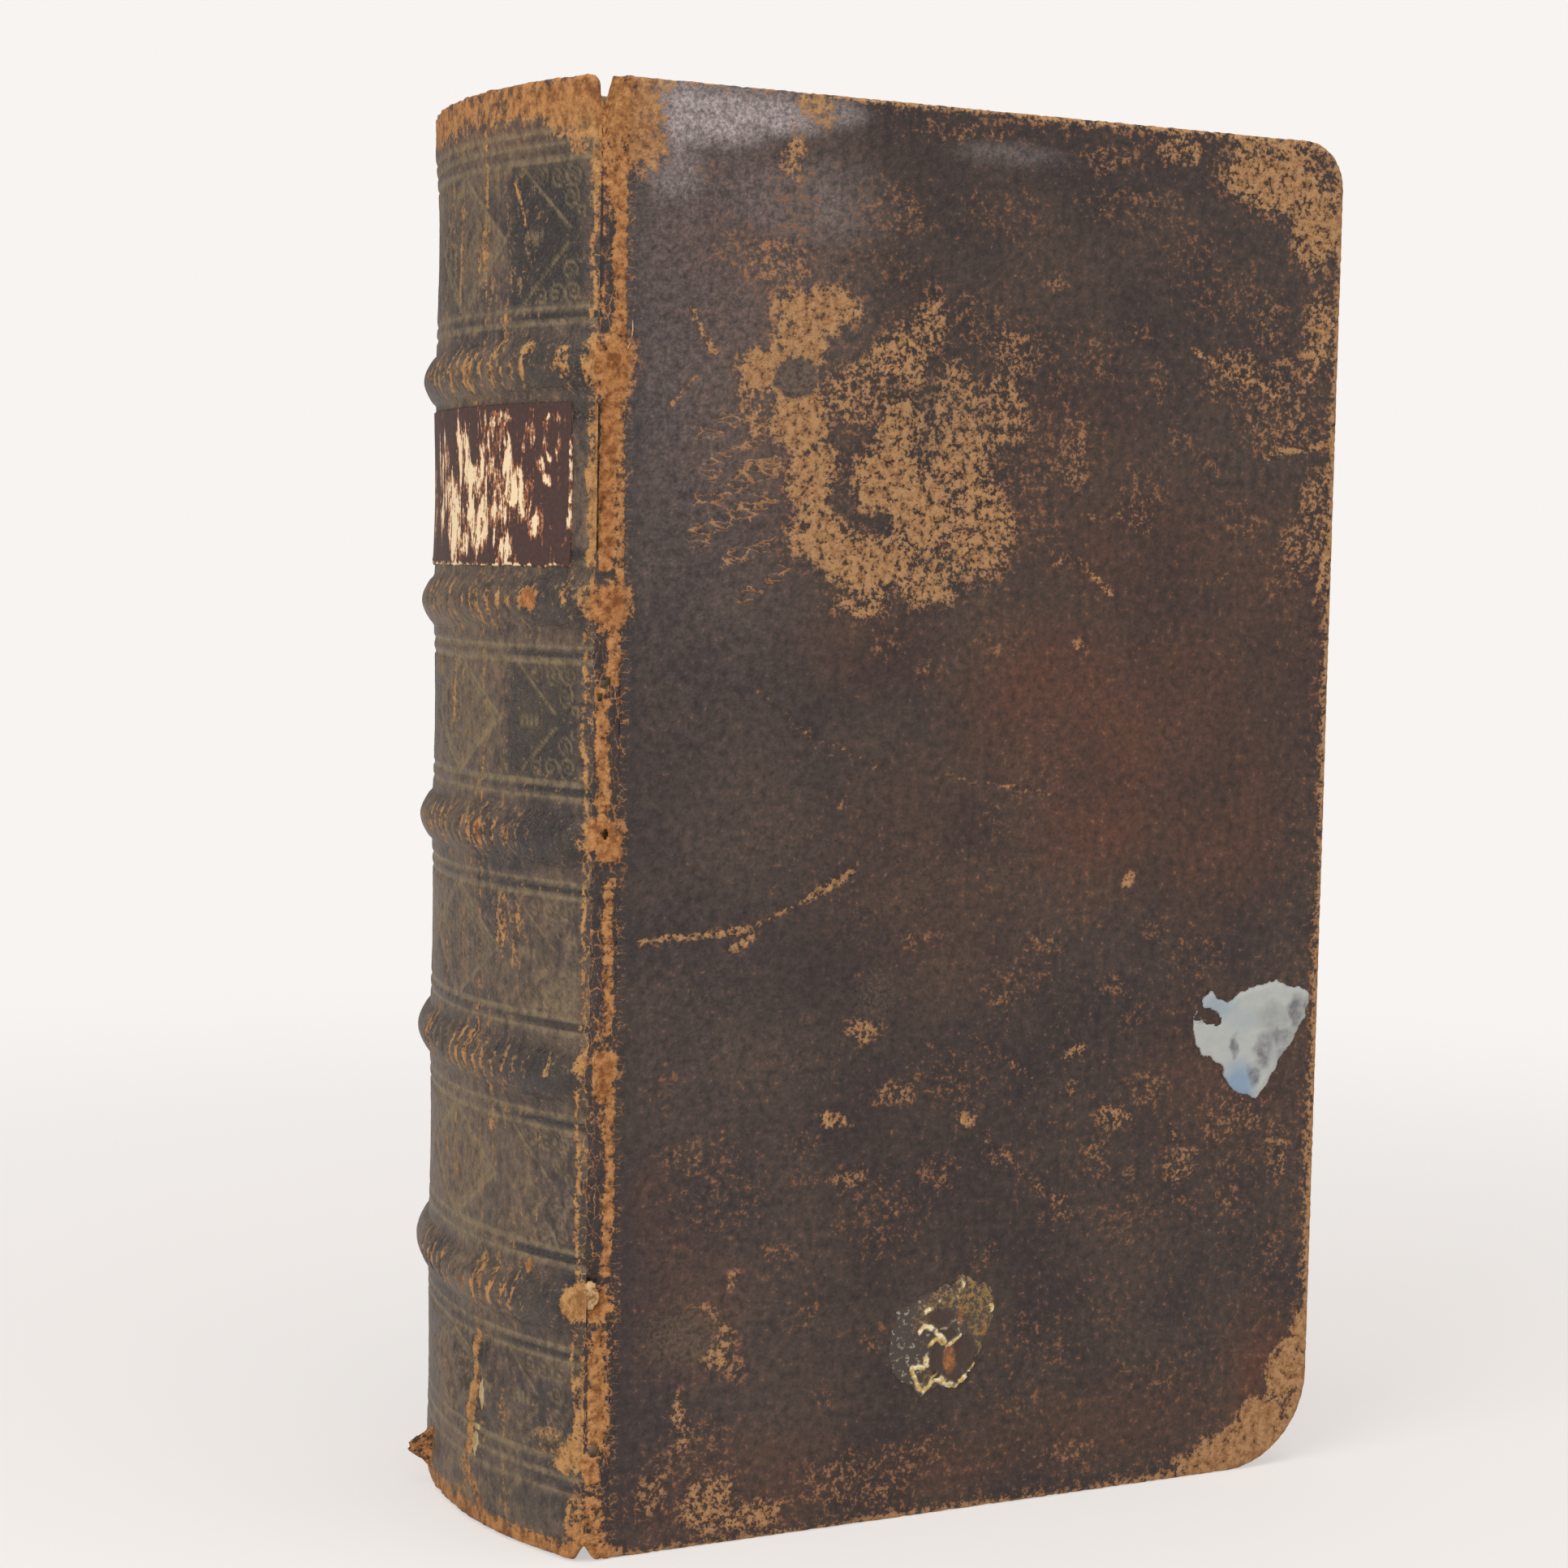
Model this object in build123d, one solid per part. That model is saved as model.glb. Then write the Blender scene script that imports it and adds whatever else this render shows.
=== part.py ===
from build123d import *
from math import asin, degrees, sqrt
import os

# An upright hand-bound book: tight back, five raised bands, two hinged boards. Millimetres.
# X runs from the spine (-) to the fore-edge (+), Y from the front cover (-) to the back cover (+),
# Z from the tail (0) to the head. The origin is at the middle of the book's foot.

# The whole book
book_height = 240.0
book_thickness = 72.0
board_width = 139.5
square = 3.5

# Boards and the leather on them
board_thickness = 3.0
cover_leather = 0.8
edge_round = 0.6
turn_in_width = 14.0
turn_in_depth = 0.6
front_head_corner = 8.0
front_tail_corner = 17.0
back_head_corner = 9.0
back_tail_corner = 16.0
page_tail_corner = 10.0  # worn round, so that the leaves stay inside the covers' rounded corners

# Spine: a round back with a flat joint strip on each side
joint_width = 5.0
spine_rise = 9.0
joint_round = 4.0
spine_leather_thickness = 1.0
lining_thickness = 0.4
spine_end_inset = 0.3
headcap_thickness = 0.8
headcap_reach = 3.2

# Raised bands over the sewing cords
band_count = 5
first_band = 42.0
band_pitch = 38.1
band_rise = 2.1
band_width = 9.2
band_side_gap = 0.1
cord_width = 4.4
cord_rise = 2.5
cord_strap = 4.0
cord_strap_depth = 0.8
cord_side_gap = 1.6

# Cord slips laced into the boards
slip_run = 12.0
slip_depth = 1.0
slip_end = 10.0
slip_end_depth = 0.5
slip_hole = 3.2

# Linings, label, endbands and pastedowns
lining_side_gap = 6.0
lining_gap = 0.6
label_thickness = 0.3
label_side_gap = 5.0
label_gap = 1.2
endband_depth = 3.0
endband_side_gap = 3.4
pastedown_thickness = 0.2
pastedown_margin = 5.0
pastedown_joint_margin = 1.0

# Clearances and broken places
hinge_gap = 0.3
page_clearance = 0.3
notch_edge = 0.4
head_notch_width = 5.0
head_notch_depth = 4.5
tail_notch_width = 3.0
tail_notch_depth = 2.4

# Worked-out places
spine_depth = joint_width + spine_rise + band_rise
joint_x = spine_depth - (board_width + spine_depth) / 2
fore_x = joint_x + board_width
leather_edge_x = joint_x - hinge_gap
outer_y = book_thickness / 2
board_outer_y = outer_y - cover_leather
board_inner_y = board_outer_y - board_thickness
page_y = board_inner_y - pastedown_thickness - page_clearance
page_tail = square
page_head = book_height - square
page_fore_x = fore_x - square
spine_radius = (outer_y**2 + spine_rise**2) / (2 * spine_rise)
spine_centre_x = joint_x - joint_width - spine_rise + spine_radius
page_inset = spine_leather_thickness + lining_thickness
page_radius = spine_radius - page_inset
endband_height = square - spine_end_inset - headcap_thickness
band_heights = [first_band + number * band_pitch for number in range(band_count)]


def spine_plan(inset):
    """Plan of the round back with its joint strips, drawn in by inset."""
    radius = spine_radius - inset
    side = outer_y - inset
    corner_x = spine_centre_x - sqrt(radius**2 - side**2)
    outline = Line((leather_edge_x, -side), (corner_x, -side))
    outline += ThreePointArc((corner_x, -side), (spine_centre_x - radius, 0), (corner_x, side))
    outline += Line((corner_x, side), (leather_edge_x, side))
    outline += Line((leather_edge_x, side), (leather_edge_x, -side))
    face = make_face(outline)
    return fillet(face.vertices().sort_by(Axis.X)[:2], joint_round - inset)


def raised(face, bottom, top):
    """A plan face raised from bottom to top."""
    return extrude(Pos(0, 0, bottom) * face, top - bottom)


def block(xs, ys, zs):
    """A box from its two limits along each axis."""
    size = [high - low for low, high in (xs, ys, zs)]
    middle = [(high + low) / 2 for low, high in (xs, ys, zs)]
    return Pos(*middle) * Box(*size)


def round_the_spine(face, radius, side_gap):
    """Turn a face drawn in radius and height round the spine, to a gap from each side of the book."""
    axis = Axis((spine_centre_x, 0, 0), (0, 0, 1))
    half_angle = degrees(asin((outer_y - side_gap) / radius))
    section = Plane(origin=(spine_centre_x, 0, 0), x_dir=(-1, 0, 0), z_dir=(0, 1, 0)) * face
    return revolve(section, axis, 2 * half_angle).rotate(axis, -half_angle)


def flat_strip(inner, thickness, bottom, top, side_gap):
    """A strip of even thickness bent round the spine."""
    middle = Pos(inner + thickness / 2, (bottom + top) / 2)
    return round_the_spine(middle * Rectangle(thickness, top - bottom), inner + thickness, side_gap)


def ridge(inner, rise, width, height, side_gap):
    """A ridge with a domed section bent round the spine."""
    low = (inner, height - width / 2)
    high = (inner, height + width / 2)
    outline = ThreePointArc(low, (inner + rise, height), high) + Line(high, low)
    return round_the_spine(make_face(outline), inner + rise, side_gap)


def sewing_cord(height):
    """A cord on the backs of the pages, beaten flat over the shoulders to both joints."""
    strap = spine_plan(spine_leather_thickness) - spine_plan(spine_leather_thickness + cord_strap_depth)
    strap = raised(strap, height - cord_strap / 2, height + cord_strap / 2)
    return strap + ridge(page_radius, cord_rise, cord_width, height, cord_side_gap)


def text_block(cords):
    """The sewn pages: shoulders at the spine, a hollow fore-edge and a kerf for each cord."""
    back = raised(spine_plan(page_inset), page_tail, page_head)
    leaves = block((leather_edge_x, page_fore_x), (-page_y, page_y), (page_tail, page_head))
    corner = leaves.edges().filter_by(Axis.Y).sort_by(lambda edge: edge.center().Z - edge.center().X)[0]
    leaves = fillet(corner, page_tail_corner)
    hollow_x = page_fore_x + sqrt(page_radius**2 - page_y**2)
    hollow = Pos(hollow_x, 0, book_height / 2) * Cylinder(page_radius, book_height)
    return back + (leaves - hollow) - cords


def spine_linings():
    """Strips glued on the backs of the pages between the cords."""
    edges = [page_tail - cord_width / 2, *band_heights, page_head + cord_width / 2]
    clear = cord_width / 2 + lining_gap
    spans = [(low + clear, high - clear) for low, high in zip(edges, edges[1:])]
    return [flat_strip(page_radius, lining_thickness, low, high, lining_side_gap) for low, high in spans]


def endband(bottom):
    """A wound endband on an edge of the pages, close behind the headcap."""
    inner = spine_radius - spine_leather_thickness - endband_depth
    return flat_strip(inner, endband_depth, bottom, bottom + endband_height, endband_side_gap)


def joint_notch(width, depth, edge, inward):
    """A wedge where the leather has broken away at an end of the front joint."""
    right = leather_edge_x - notch_edge
    tip = edge + inward * depth
    wedge = make_face(Polyline((right - width, edge), (right, edge), (right - width / 2, tip), close=True))
    face = Plane(origin=(0, -outer_y, 0), x_dir=(1, 0, 0), z_dir=(0, -1, 0)) * wedge
    return extrude(face, -(joint_round + headcap_reach))


def spine_leather(cords):
    """Leather over the round back: bands, joint strips and headcaps turned in over the endbands."""
    bottom = spine_end_inset
    top = book_height - spine_end_inset
    skin = raised(spine_plan(0), bottom, top)
    for height in band_heights:
        skin += ridge(spine_radius, band_rise, band_width, height, band_side_gap)
    cavity = raised(spine_plan(spine_leather_thickness), bottom + headcap_thickness, top - headcap_thickness)
    open_ends = raised(spine_plan(headcap_reach), 0, book_height)
    skin = skin - cavity - open_ends - cords
    skin -= joint_notch(head_notch_width, head_notch_depth, book_height, -1)
    skin -= joint_notch(tail_notch_width, tail_notch_depth, 0, 1)
    return skin


def title_label():
    """A thin label pasted in the second compartment from the head."""
    low, high = band_heights[-2:]
    clear = band_width / 2 + label_gap
    return flat_strip(spine_radius, label_thickness, low + clear, high - clear, label_side_gap)


def cover_slab(inset, head_corner, tail_corner, outer, inner):
    """A cover's outline between two depths, with worn fore-edge corners and a straight joint side."""
    width = board_width - inset
    face = Pos(joint_x + width / 2, book_height / 2) * Rectangle(width, book_height - 2 * inset)
    face = fillet(max(face.vertices(), key=lambda corner: corner.X + corner.Y), head_corner - inset)
    face = fillet(max(face.vertices(), key=lambda corner: corner.X - corner.Y), tail_corner - inset)
    on_cover = Plane(origin=(0, -outer, 0), x_dir=(1, 0, 0), z_dir=(0, -1, 0)) * face
    return extrude(on_cover, -(outer - inner))


def rounded_edges(slab):
    """Soften the long edges of a covered board, except at the joint."""
    faces = slab.faces().sort_by(Axis.Y)
    edges = faces[0].edges() + faces[-1].edges()
    free = [edge for edge in edges if edge.bounding_box().max.X > joint_x + edge_round]
    return fillet(free, edge_round)


def slip(height):
    """A cord's end: along the board's outer face, down through a hole and flat on the inner face."""
    across = (height - cord_strap / 2, height + cord_strap / 2)
    hole_x = joint_x + slip_run
    run = block((joint_x, hole_x + cord_strap / 2), (-board_outer_y, -board_outer_y + slip_depth), across)
    plug = Pos(hole_x, -(board_outer_y + board_inner_y) / 2, height) * Rot(90, 0, 0)
    plug *= Cylinder(slip_hole / 2, board_thickness)
    end_xs = (hole_x - cord_strap / 2, hole_x + slip_end)
    end = block(end_xs, (-board_inner_y - slip_end_depth, -board_inner_y), across)
    return run + plug + end


def pastedown():
    """The endpaper leaf pasted inside the cover, over the turned-in leather."""
    xs = (joint_x + pastedown_joint_margin, fore_x - pastedown_margin)
    ys = (-board_inner_y, -board_inner_y + pastedown_thickness)
    return block(xs, ys, (pastedown_margin, book_height - pastedown_margin))


def cover(side, head_corner, tail_corner):
    """One cover's pieces by name, built at the front: board, leather, pastedown and slips."""
    turn_in_y = board_inner_y + turn_in_depth
    covered = rounded_edges(cover_slab(0, head_corner, tail_corner, outer_y, board_inner_y))
    board = cover_slab(cover_leather, head_corner, tail_corner, board_outer_y, board_inner_y)
    frame = cover_slab(0, head_corner, tail_corner, turn_in_y, board_inner_y)
    window_xs = (joint_x, fore_x - turn_in_width)
    window = block(window_xs, (-turn_in_y, -board_inner_y), (turn_in_width, book_height - turn_in_width))
    board -= frame - window
    slips = [slip(height) for height in band_heights]
    pieces = {
        f"{side}_board": board - slips,
        f"{side}_leather": covered - board,
        f"{side}_pastedown": pastedown(),
    }
    for number, cord_end in enumerate(slips, 1):
        pieces[f"{side}_slip_{number}"] = cord_end
    return pieces


def whole_book():
    """Every piece of the book by name."""
    cords = [sewing_cord(height) for height in band_heights]
    pieces = {
        "text_block": text_block(cords),
        "spine_leather": spine_leather(cords),
        "title_label": title_label(),
        "tail_endband": endband(page_tail - endband_height),
        "head_endband": endband(page_head),
    }
    for number, cord in enumerate(cords, 1):
        pieces[f"sewing_cord_{number}"] = cord
    for number, lining in enumerate(spine_linings(), 1):
        pieces[f"spine_lining_{number}"] = lining
    pieces.update(cover("front", front_head_corner, front_tail_corner))
    for name, piece in cover("back", back_head_corner, back_tail_corner).items():
        pieces[name] = mirror(piece, Plane.XZ)
    return pieces


os.makedirs("parts", exist_ok=True)
for name, piece in whole_book().items():
    export_step(piece, f"parts/{name}.step")
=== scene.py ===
"""An antique book bound in worn calf over boards: five raised bands, a title label, split joints.

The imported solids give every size. The leathers, the label, the endbands and the leaves are modelled
again here with their wear, and the boards, cords, slips, linings and pastedowns keep their solids.
"""
import math

import bmesh
import bpy
import numpy as np
from mathutils import Matrix, Vector, noise


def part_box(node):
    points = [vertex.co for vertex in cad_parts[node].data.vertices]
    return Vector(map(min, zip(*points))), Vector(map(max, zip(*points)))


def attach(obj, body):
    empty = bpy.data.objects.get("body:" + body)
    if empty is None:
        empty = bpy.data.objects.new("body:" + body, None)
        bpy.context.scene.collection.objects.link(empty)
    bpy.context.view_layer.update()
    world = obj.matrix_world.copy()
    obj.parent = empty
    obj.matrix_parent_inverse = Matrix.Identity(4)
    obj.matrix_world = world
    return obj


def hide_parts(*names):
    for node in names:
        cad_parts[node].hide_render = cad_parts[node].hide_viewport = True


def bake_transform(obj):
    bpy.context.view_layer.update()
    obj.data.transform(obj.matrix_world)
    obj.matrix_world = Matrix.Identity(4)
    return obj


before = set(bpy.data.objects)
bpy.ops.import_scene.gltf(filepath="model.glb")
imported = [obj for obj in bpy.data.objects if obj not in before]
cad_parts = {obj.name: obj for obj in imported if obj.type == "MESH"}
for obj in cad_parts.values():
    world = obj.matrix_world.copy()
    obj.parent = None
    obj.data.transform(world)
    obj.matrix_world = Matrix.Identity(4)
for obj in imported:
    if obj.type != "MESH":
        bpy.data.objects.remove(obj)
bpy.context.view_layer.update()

MM = 0.001


def box_mm(node):
    """Lowest and highest corner of a solid, in millimetres."""
    low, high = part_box(node)
    return np.array(low) / MM, np.array(high) / MM


cover_low, cover_high = box_mm("front_leather")
HALF = -cover_low[1]  # the covers' outer faces lie this far each side of the middle
HEIGHT = cover_high[2]
BOARD_X = cover_low[0]  # the covers' spine edge
FORE_X = cover_high[0]

# The spine's outer face: an arc, a small round at each shoulder, then flat to the joint.
ARC_X = 0.8
ARC_R = 76.5
ROUND_R = 4.0
ROUND_X = ARC_X - math.sqrt((ARC_R - ROUND_R) ** 2 - (HALF - ROUND_R) ** 2)
ARC_TURN = math.atan2(HALF - ROUND_R, ARC_X - ROUND_X)
ARC_HALF = ARC_TURN * ARC_R
ROUND_LENGTH = (math.pi / 2 - ARC_TURN) * ROUND_R
JOINT_V = ARC_HALF + ROUND_LENGTH + BOARD_X - ROUND_X  # girth from the crown to the covers

BANDS = [(box_mm(f"sewing_cord_{k}")[0][2] + box_mm(f"sewing_cord_{k}")[1][2]) / 2 for k in range(1, 6)]
BAND_WIDTH = 9.6
BAND_RISE = 2.1

# ---------------------------------------------------------------- small tools


def linear(code):
    """An sRGB hex colour as linear red, green, blue and alpha."""
    parts = [int(code[i : i + 2], 16) / 255 for i in (1, 3, 5)]
    return tuple(p / 12.92 if p <= 0.04045 else ((p + 0.055) / 1.055) ** 2.4 for p in parts) + (1.0,)


def connect(tree, made, inputs):
    """Fill a node's inputs: each takes a value, another node's output, or a node for its first output."""
    for key, value in inputs.items():
        if isinstance(value, bpy.types.Node):
            value = value.outputs[0]
        if isinstance(value, bpy.types.NodeSocket):
            tree.links.new(value, made.inputs[key])
        else:
            made.inputs[key].default_value = value


def node(tree, kind, inputs=None, **settings):
    """Add a node with its settings and its inputs."""
    made = tree.nodes.new("ShaderNode" + kind)
    for key, value in settings.items():
        setattr(made, key, value)
    connect(tree, made, inputs or {})
    return made


def finish_named(name):
    """An empty material with its shader and output, and the tree to fill."""
    material = bpy.data.materials.new(name)
    material.use_nodes = True
    tree = material.node_tree
    tree.nodes.clear()
    shader = node(tree, "BsdfPrincipled")
    node(tree, "OutputMaterial", {"Surface": shader})
    return material, tree, shader


def smooth(value, low, high):
    """0 below low, 1 above high, an S curve between."""
    t = np.clip((value - low) / (high - low), 0, 1)
    return t * t * (3 - 2 * t)


def drift(x, z, size, seed, octaves=3):
    """Slow random values, about -1 to 1, that change over `size` millimetres."""
    return np.array(
        [noise.fractal(Vector((a / size, b / size, seed)), 1.0, 2.0, octaves) for a, b in zip(x, z)]
    )


def spots(x, z, marks):
    """The strongest of several soft-edged ovals: (x, z, half width, half height, strength)."""
    most = np.zeros_like(x)
    for mx, mz, rx, rz, strength in marks:
        far = np.hypot((x - mx) / rx, (z - mz) / rz)
        most = np.maximum(most, strength * np.clip(1.6 - 1.2 * far, 0, 1))
    return most


def strokes(x, z, marks):
    """The strongest of several soft-edged lines: (x, z, x, z, half width, strength)."""
    most = np.zeros_like(x)
    for ax, az, bx, bz, half, strength in marks:
        dx, dz = bx - ax, bz - az
        t = np.clip(((x - ax) * dx + (z - az) * dz) / (dx * dx + dz * dz), 0, 1)
        far = np.hypot(x - ax - t * dx, z - az - t * dz) / half
        most = np.maximum(most, strength * np.clip(1.6 - 1.2 * far, 0, 1))
    return most


def grid(columns, rows):
    """A flat grid over the unit square, as a bmesh with its corners' places along each side."""
    bm = bmesh.new()
    bmesh.ops.create_grid(bm, x_segments=columns, y_segments=rows, size=0.5)
    bm.verts.ensure_lookup_table()
    spread = np.array([v.co for v in bm.verts])
    return bm, spread[:, 0] + 0.5, spread[:, 1] + 0.5


def bend(x, z, reach, size, seeds, octaves):
    """Both coordinates pushed about by noise, so that an edge drawn in them runs ragged."""
    bent_x = x + reach * drift(x, z, size, seeds[0], octaves)
    return bent_x, z + reach * drift(x, z, size, seeds[1], octaves)


def open_edges(bm):
    """The edges that border one face only."""
    return [e for e in bm.edges if e.is_boundary]


def corners_in(geometry):
    """The corners among the parts that an operation has made."""
    return [g for g in geometry if isinstance(g, bmesh.types.BMVert)]


def extrude_rim(bm, rim):
    """Grow faces from an open rim: the new corners, still where the rim is, and the new rim."""
    grown = bmesh.ops.extrude_edge_only(bm, edges=rim)["geom"]
    corners = corners_in(grown)
    fresh = set(corners)
    edges = [g for g in grown if isinstance(g, bmesh.types.BMEdge)]
    return corners, [e for e in edges if e.verts[0] in fresh and e.verts[1] in fresh]


def put(bm, x, y, z):
    """Move every corner of the bmesh to its place in millimetres."""
    for v, px, py, pz in zip(bm.verts, x, y, z):
        v.co = (px, py, pz)


def piece(name, bm, material, body=None, maps=None, recalc=True):
    """Turn a bmesh in millimetres into a piece in metres, with its wear maps."""
    if recalc:
        bmesh.ops.recalc_face_normals(bm, faces=bm.faces)
    mesh = bpy.data.meshes.new(name)
    bm.to_mesh(mesh)
    bm.free()
    mesh.transform(Matrix.Scale(MM, 4))
    for face in mesh.polygons:
        face.use_smooth = True
    for key, channels in (maps or {}).items():
        layer = mesh.attributes.new(key, "FLOAT_COLOR", "POINT")
        packed = np.stack([np.broadcast_to(c, len(mesh.vertices)) for c in channels], axis=1)
        layer.data.foreach_set("color", np.clip(packed, 0, 1).astype(np.float32).ravel())
    mesh.materials.append(material)
    made = bpy.data.objects.new(name, mesh)
    bpy.context.collection.objects.link(made)
    if body:
        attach(made, body)
    return made


# ---------------------------------------------------------------- finishes


def worn_calf(
    name, dark, light, suede, suede_dark, scuff="#8a5f43", scuff_dark="#6b452f", specks=1.0,
    stretch=(1, 1, 1), crack=(0.0, (1, 1, 1)),
):
    """Vegetable-tanned calf, stained dark and polished, with the stain and the grain layer worn off.

    The stained face is a smooth, slightly glossy brown-black; where it has gone the fibrous inside
    shows as matt tan suede, peppered with what is left of the face, and where only its top is
    scuffed, as a duller brown. Two maps carry the wear and the painted sheen: wear = worn away,
    red-brown glow, crack net, raw suede; tone = painted sheen (light grey mixed in as a highlight),
    black gloss, tooling, dust. Breaks are about 1.5 mm across; the grain, 0.7 mm across, gives the
    fine relief. crack is the turn of the crack net and its stretch, with a cell 1.6 mm across.
    """
    material, tree, shader = finish_named(name)
    place = node(tree, "TexCoord").outputs["Object"]
    stretched = node(tree, "Mapping", {"Vector": place, "Scale": stretch})
    wear = node(tree, "Attribute", attribute_name="wear")
    tone = node(tree, "Attribute", attribute_name="tone")
    wears = node(tree, "SeparateColor", {"Color": wear.outputs["Color"]})
    tones = node(tree, "SeparateColor", {"Color": tone.outputs["Color"]})

    breaks = node(tree, "TexNoise", {"Vector": stretched, "Scale": 640.0, "Detail": 5.0, "Roughness": 0.68})
    grain = node(tree, "TexNoise", {"Vector": place, "Scale": 1500.0, "Detail": 2.0, "Roughness": 0.62})
    cloud = node(tree, "TexNoise", {"Vector": place, "Scale": 46.0, "Detail": 4.0, "Roughness": 0.66})

    # how far the face has gone: the map, broken up by the two noises
    ragged = node(tree, "Math", {0: breaks, 1: 1.9 * specks, 2: -0.95 * specks}, operation="MULTIPLY_ADD")
    peppery = node(tree, "Math", {0: grain, 1: 1.5, 2: -0.75}, operation="MULTIPLY_ADD")
    noisy = node(tree, "Math", {0: ragged, 1: peppery}, operation="ADD")
    gone = node(tree, "Math", {0: wears.outputs[0], 1: noisy}, operation="ADD")
    bare = node(
        tree, "MapRange", {"Value": gone, "From Min": 0.42, "From Max": 0.62},
        interpolation_type="SMOOTHSTEP",
    )

    # the crack net, thinning out where the noise is low
    warped = node(
        tree, "VectorMath", {0: breaks, 1: (0.0026, 0.0012, -0.0022), 2: place}, operation="MULTIPLY_ADD",
    )
    turned = node(tree, "Mapping", {"Vector": warped, "Rotation": (0, crack[0], 0), "Scale": crack[1]})
    net = node(
        tree, "TexVoronoi", {"Vector": turned, "Scale": 620.0}, feature="DISTANCE_TO_EDGE",
    ).outputs["Distance"]
    reach = node(tree, "Math", {0: wears.outputs[2], 1: grain}, operation="MULTIPLY")
    width = node(tree, "Math", {0: reach, 1: 0.3, 2: -0.03}, operation="MULTIPLY_ADD")
    cracks = node(tree, "Math", {0: net, 1: width}, operation="LESS_THAN")
    crack_mask = node(tree, "Math", {0: cracks, 1: 0.8}, operation="MULTIPLY")
    tan = node(tree, "Math", {0: bare, 1: crack_mask}, operation="MAXIMUM")
    deep_worn = node(
        tree, "MapRange", {"Value": wears.outputs[0], "From Min": 0.30, "From Max": 0.58},
        interpolation_type="SMOOTHSTEP",
    )
    deep_wear = node(tree, "Math", {0: deep_worn, 1: cracks}, operation="MAXIMUM")

    # colour of the stained face
    clouds = node(
        tree, "MapRange", {"Value": cloud, "From Min": 0.35, "From Max": 0.65},
        interpolation_type="SMOOTHSTEP",
    )
    face = node(tree, "Mix", {0: clouds, 6: linear(dark), 7: linear(light)}, data_type="RGBA").outputs[2]
    glow = node(tree, "Math", {0: wears.outputs[1], 1: cloud}, operation="MULTIPLY")
    glows = node(tree, "Math", {0: glow, 1: grain}, operation="MULTIPLY")
    glowing = node(tree, "Math", {0: glows, 1: 2.2}, operation="MULTIPLY", use_clamp=True)
    face = node(tree, "Mix", {0: glowing, 6: face, 7: linear("#603722")}, data_type="RGBA").outputs[2]
    lively = node(
        tree, "MapRange", {"Value": breaks, "From Min": 0.38, "From Max": 0.62},
        interpolation_type="SMOOTHSTEP",
    )
    grainy = node(
        tree, "MapRange", {"Value": grain, "From Min": 0.4, "From Max": 0.62},
        interpolation_type="SMOOTHSTEP",
    )
    # painted sheen: the tone map's first channel mixes light grey #b9aca9 into the face colour as a
    # highlight
    softer = node(tree, "Math", {0: grainy, 1: 0.45, 2: 0.5}, operation="MULTIPLY_ADD")
    grey = node(tree, "Math", {0: tones.outputs[0], 1: softer}, operation="MULTIPLY")
    face = node(tree, "Mix", {0: grey, 6: face, 7: linear("#b9aca9")}, data_type="RGBA").outputs[2]
    mottle = node(
        tree, "MapRange",
        {"Value": breaks, "From Min": 0.34, "From Max": 0.66, "To Min": 0.5, "To Max": 1.55},
    )
    face = node(tree, "VectorMath", {0: face, "Scale": mottle}, operation="SCALE")
    black = node(
        tree, "Mix", {0: tones.outputs[1], 6: face, 7: linear("#262120")}, data_type="RGBA",
    ).outputs[2]
    handled = node(tree, "Math", {0: lively, 1: 0.6, 2: 0.4}, operation="MULTIPLY_ADD")
    rubbed = node(tree, "Math", {0: tones.outputs[2], 1: handled}, operation="MULTIPLY")
    tooled = node(tree, "Mix", {0: rubbed, 6: black, 7: linear("#93805f")}, data_type="RGBA").outputs[2]

    # colour of the bare suede, and the deeper orange of the raw joint
    suedes = node(
        tree, "Mix", {0: lively, 6: linear(suede_dark), 7: linear(suede)}, data_type="RGBA",
    ).outputs[2]
    orange = node(
        tree, "Mix", {0: lively, 6: linear("#7d4521"), 7: linear("#b87a45")}, data_type="RGBA",
    ).outputs[2]
    inside = node(
        tree, "Mix", {0: wear.outputs["Alpha"], 6: suedes, 7: orange}, data_type="RGBA",
    ).outputs[2]
    scuffed = node(
        tree, "Mix", {0: lively, 6: linear(scuff_dark), 7: linear(scuff)}, data_type="RGBA",
    ).outputs[2]
    inside = node(tree, "Mix", {0: deep_wear, 6: scuffed, 7: inside}, data_type="RGBA").outputs[2]
    both = node(tree, "Mix", {0: tan, 6: tooled, 7: inside}, data_type="RGBA").outputs[2]
    dusty = node(tree, "Math", {0: tone.outputs["Alpha"], 1: grainy}, operation="MULTIPLY")
    colour = node(tree, "Mix", {0: dusty, 6: both, 7: linear("#6b5b48")}, data_type="RGBA").outputs[2]

    polish = node(tree, "MapRange", {"Value": tones.outputs[1], "To Min": 0.5, "To Max": 0.25})
    rough = node(tree, "Mix", {0: tan, 2: polish, 3: 0.9}, data_type="FLOAT")

    # the step down where the face has gone is in the mesh, so the relief here is the grain alone
    bump = node(tree, "Bump", {"Height": grain, "Strength": 0.85, "Distance": 0.0007})
    gloss = {"Roughness": rough, "IOR": 1.5, "Specular IOR Level": 0.4}
    connect(tree, shader, {"Base Color": colour, "Normal": bump, **gloss})
    return material


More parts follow.
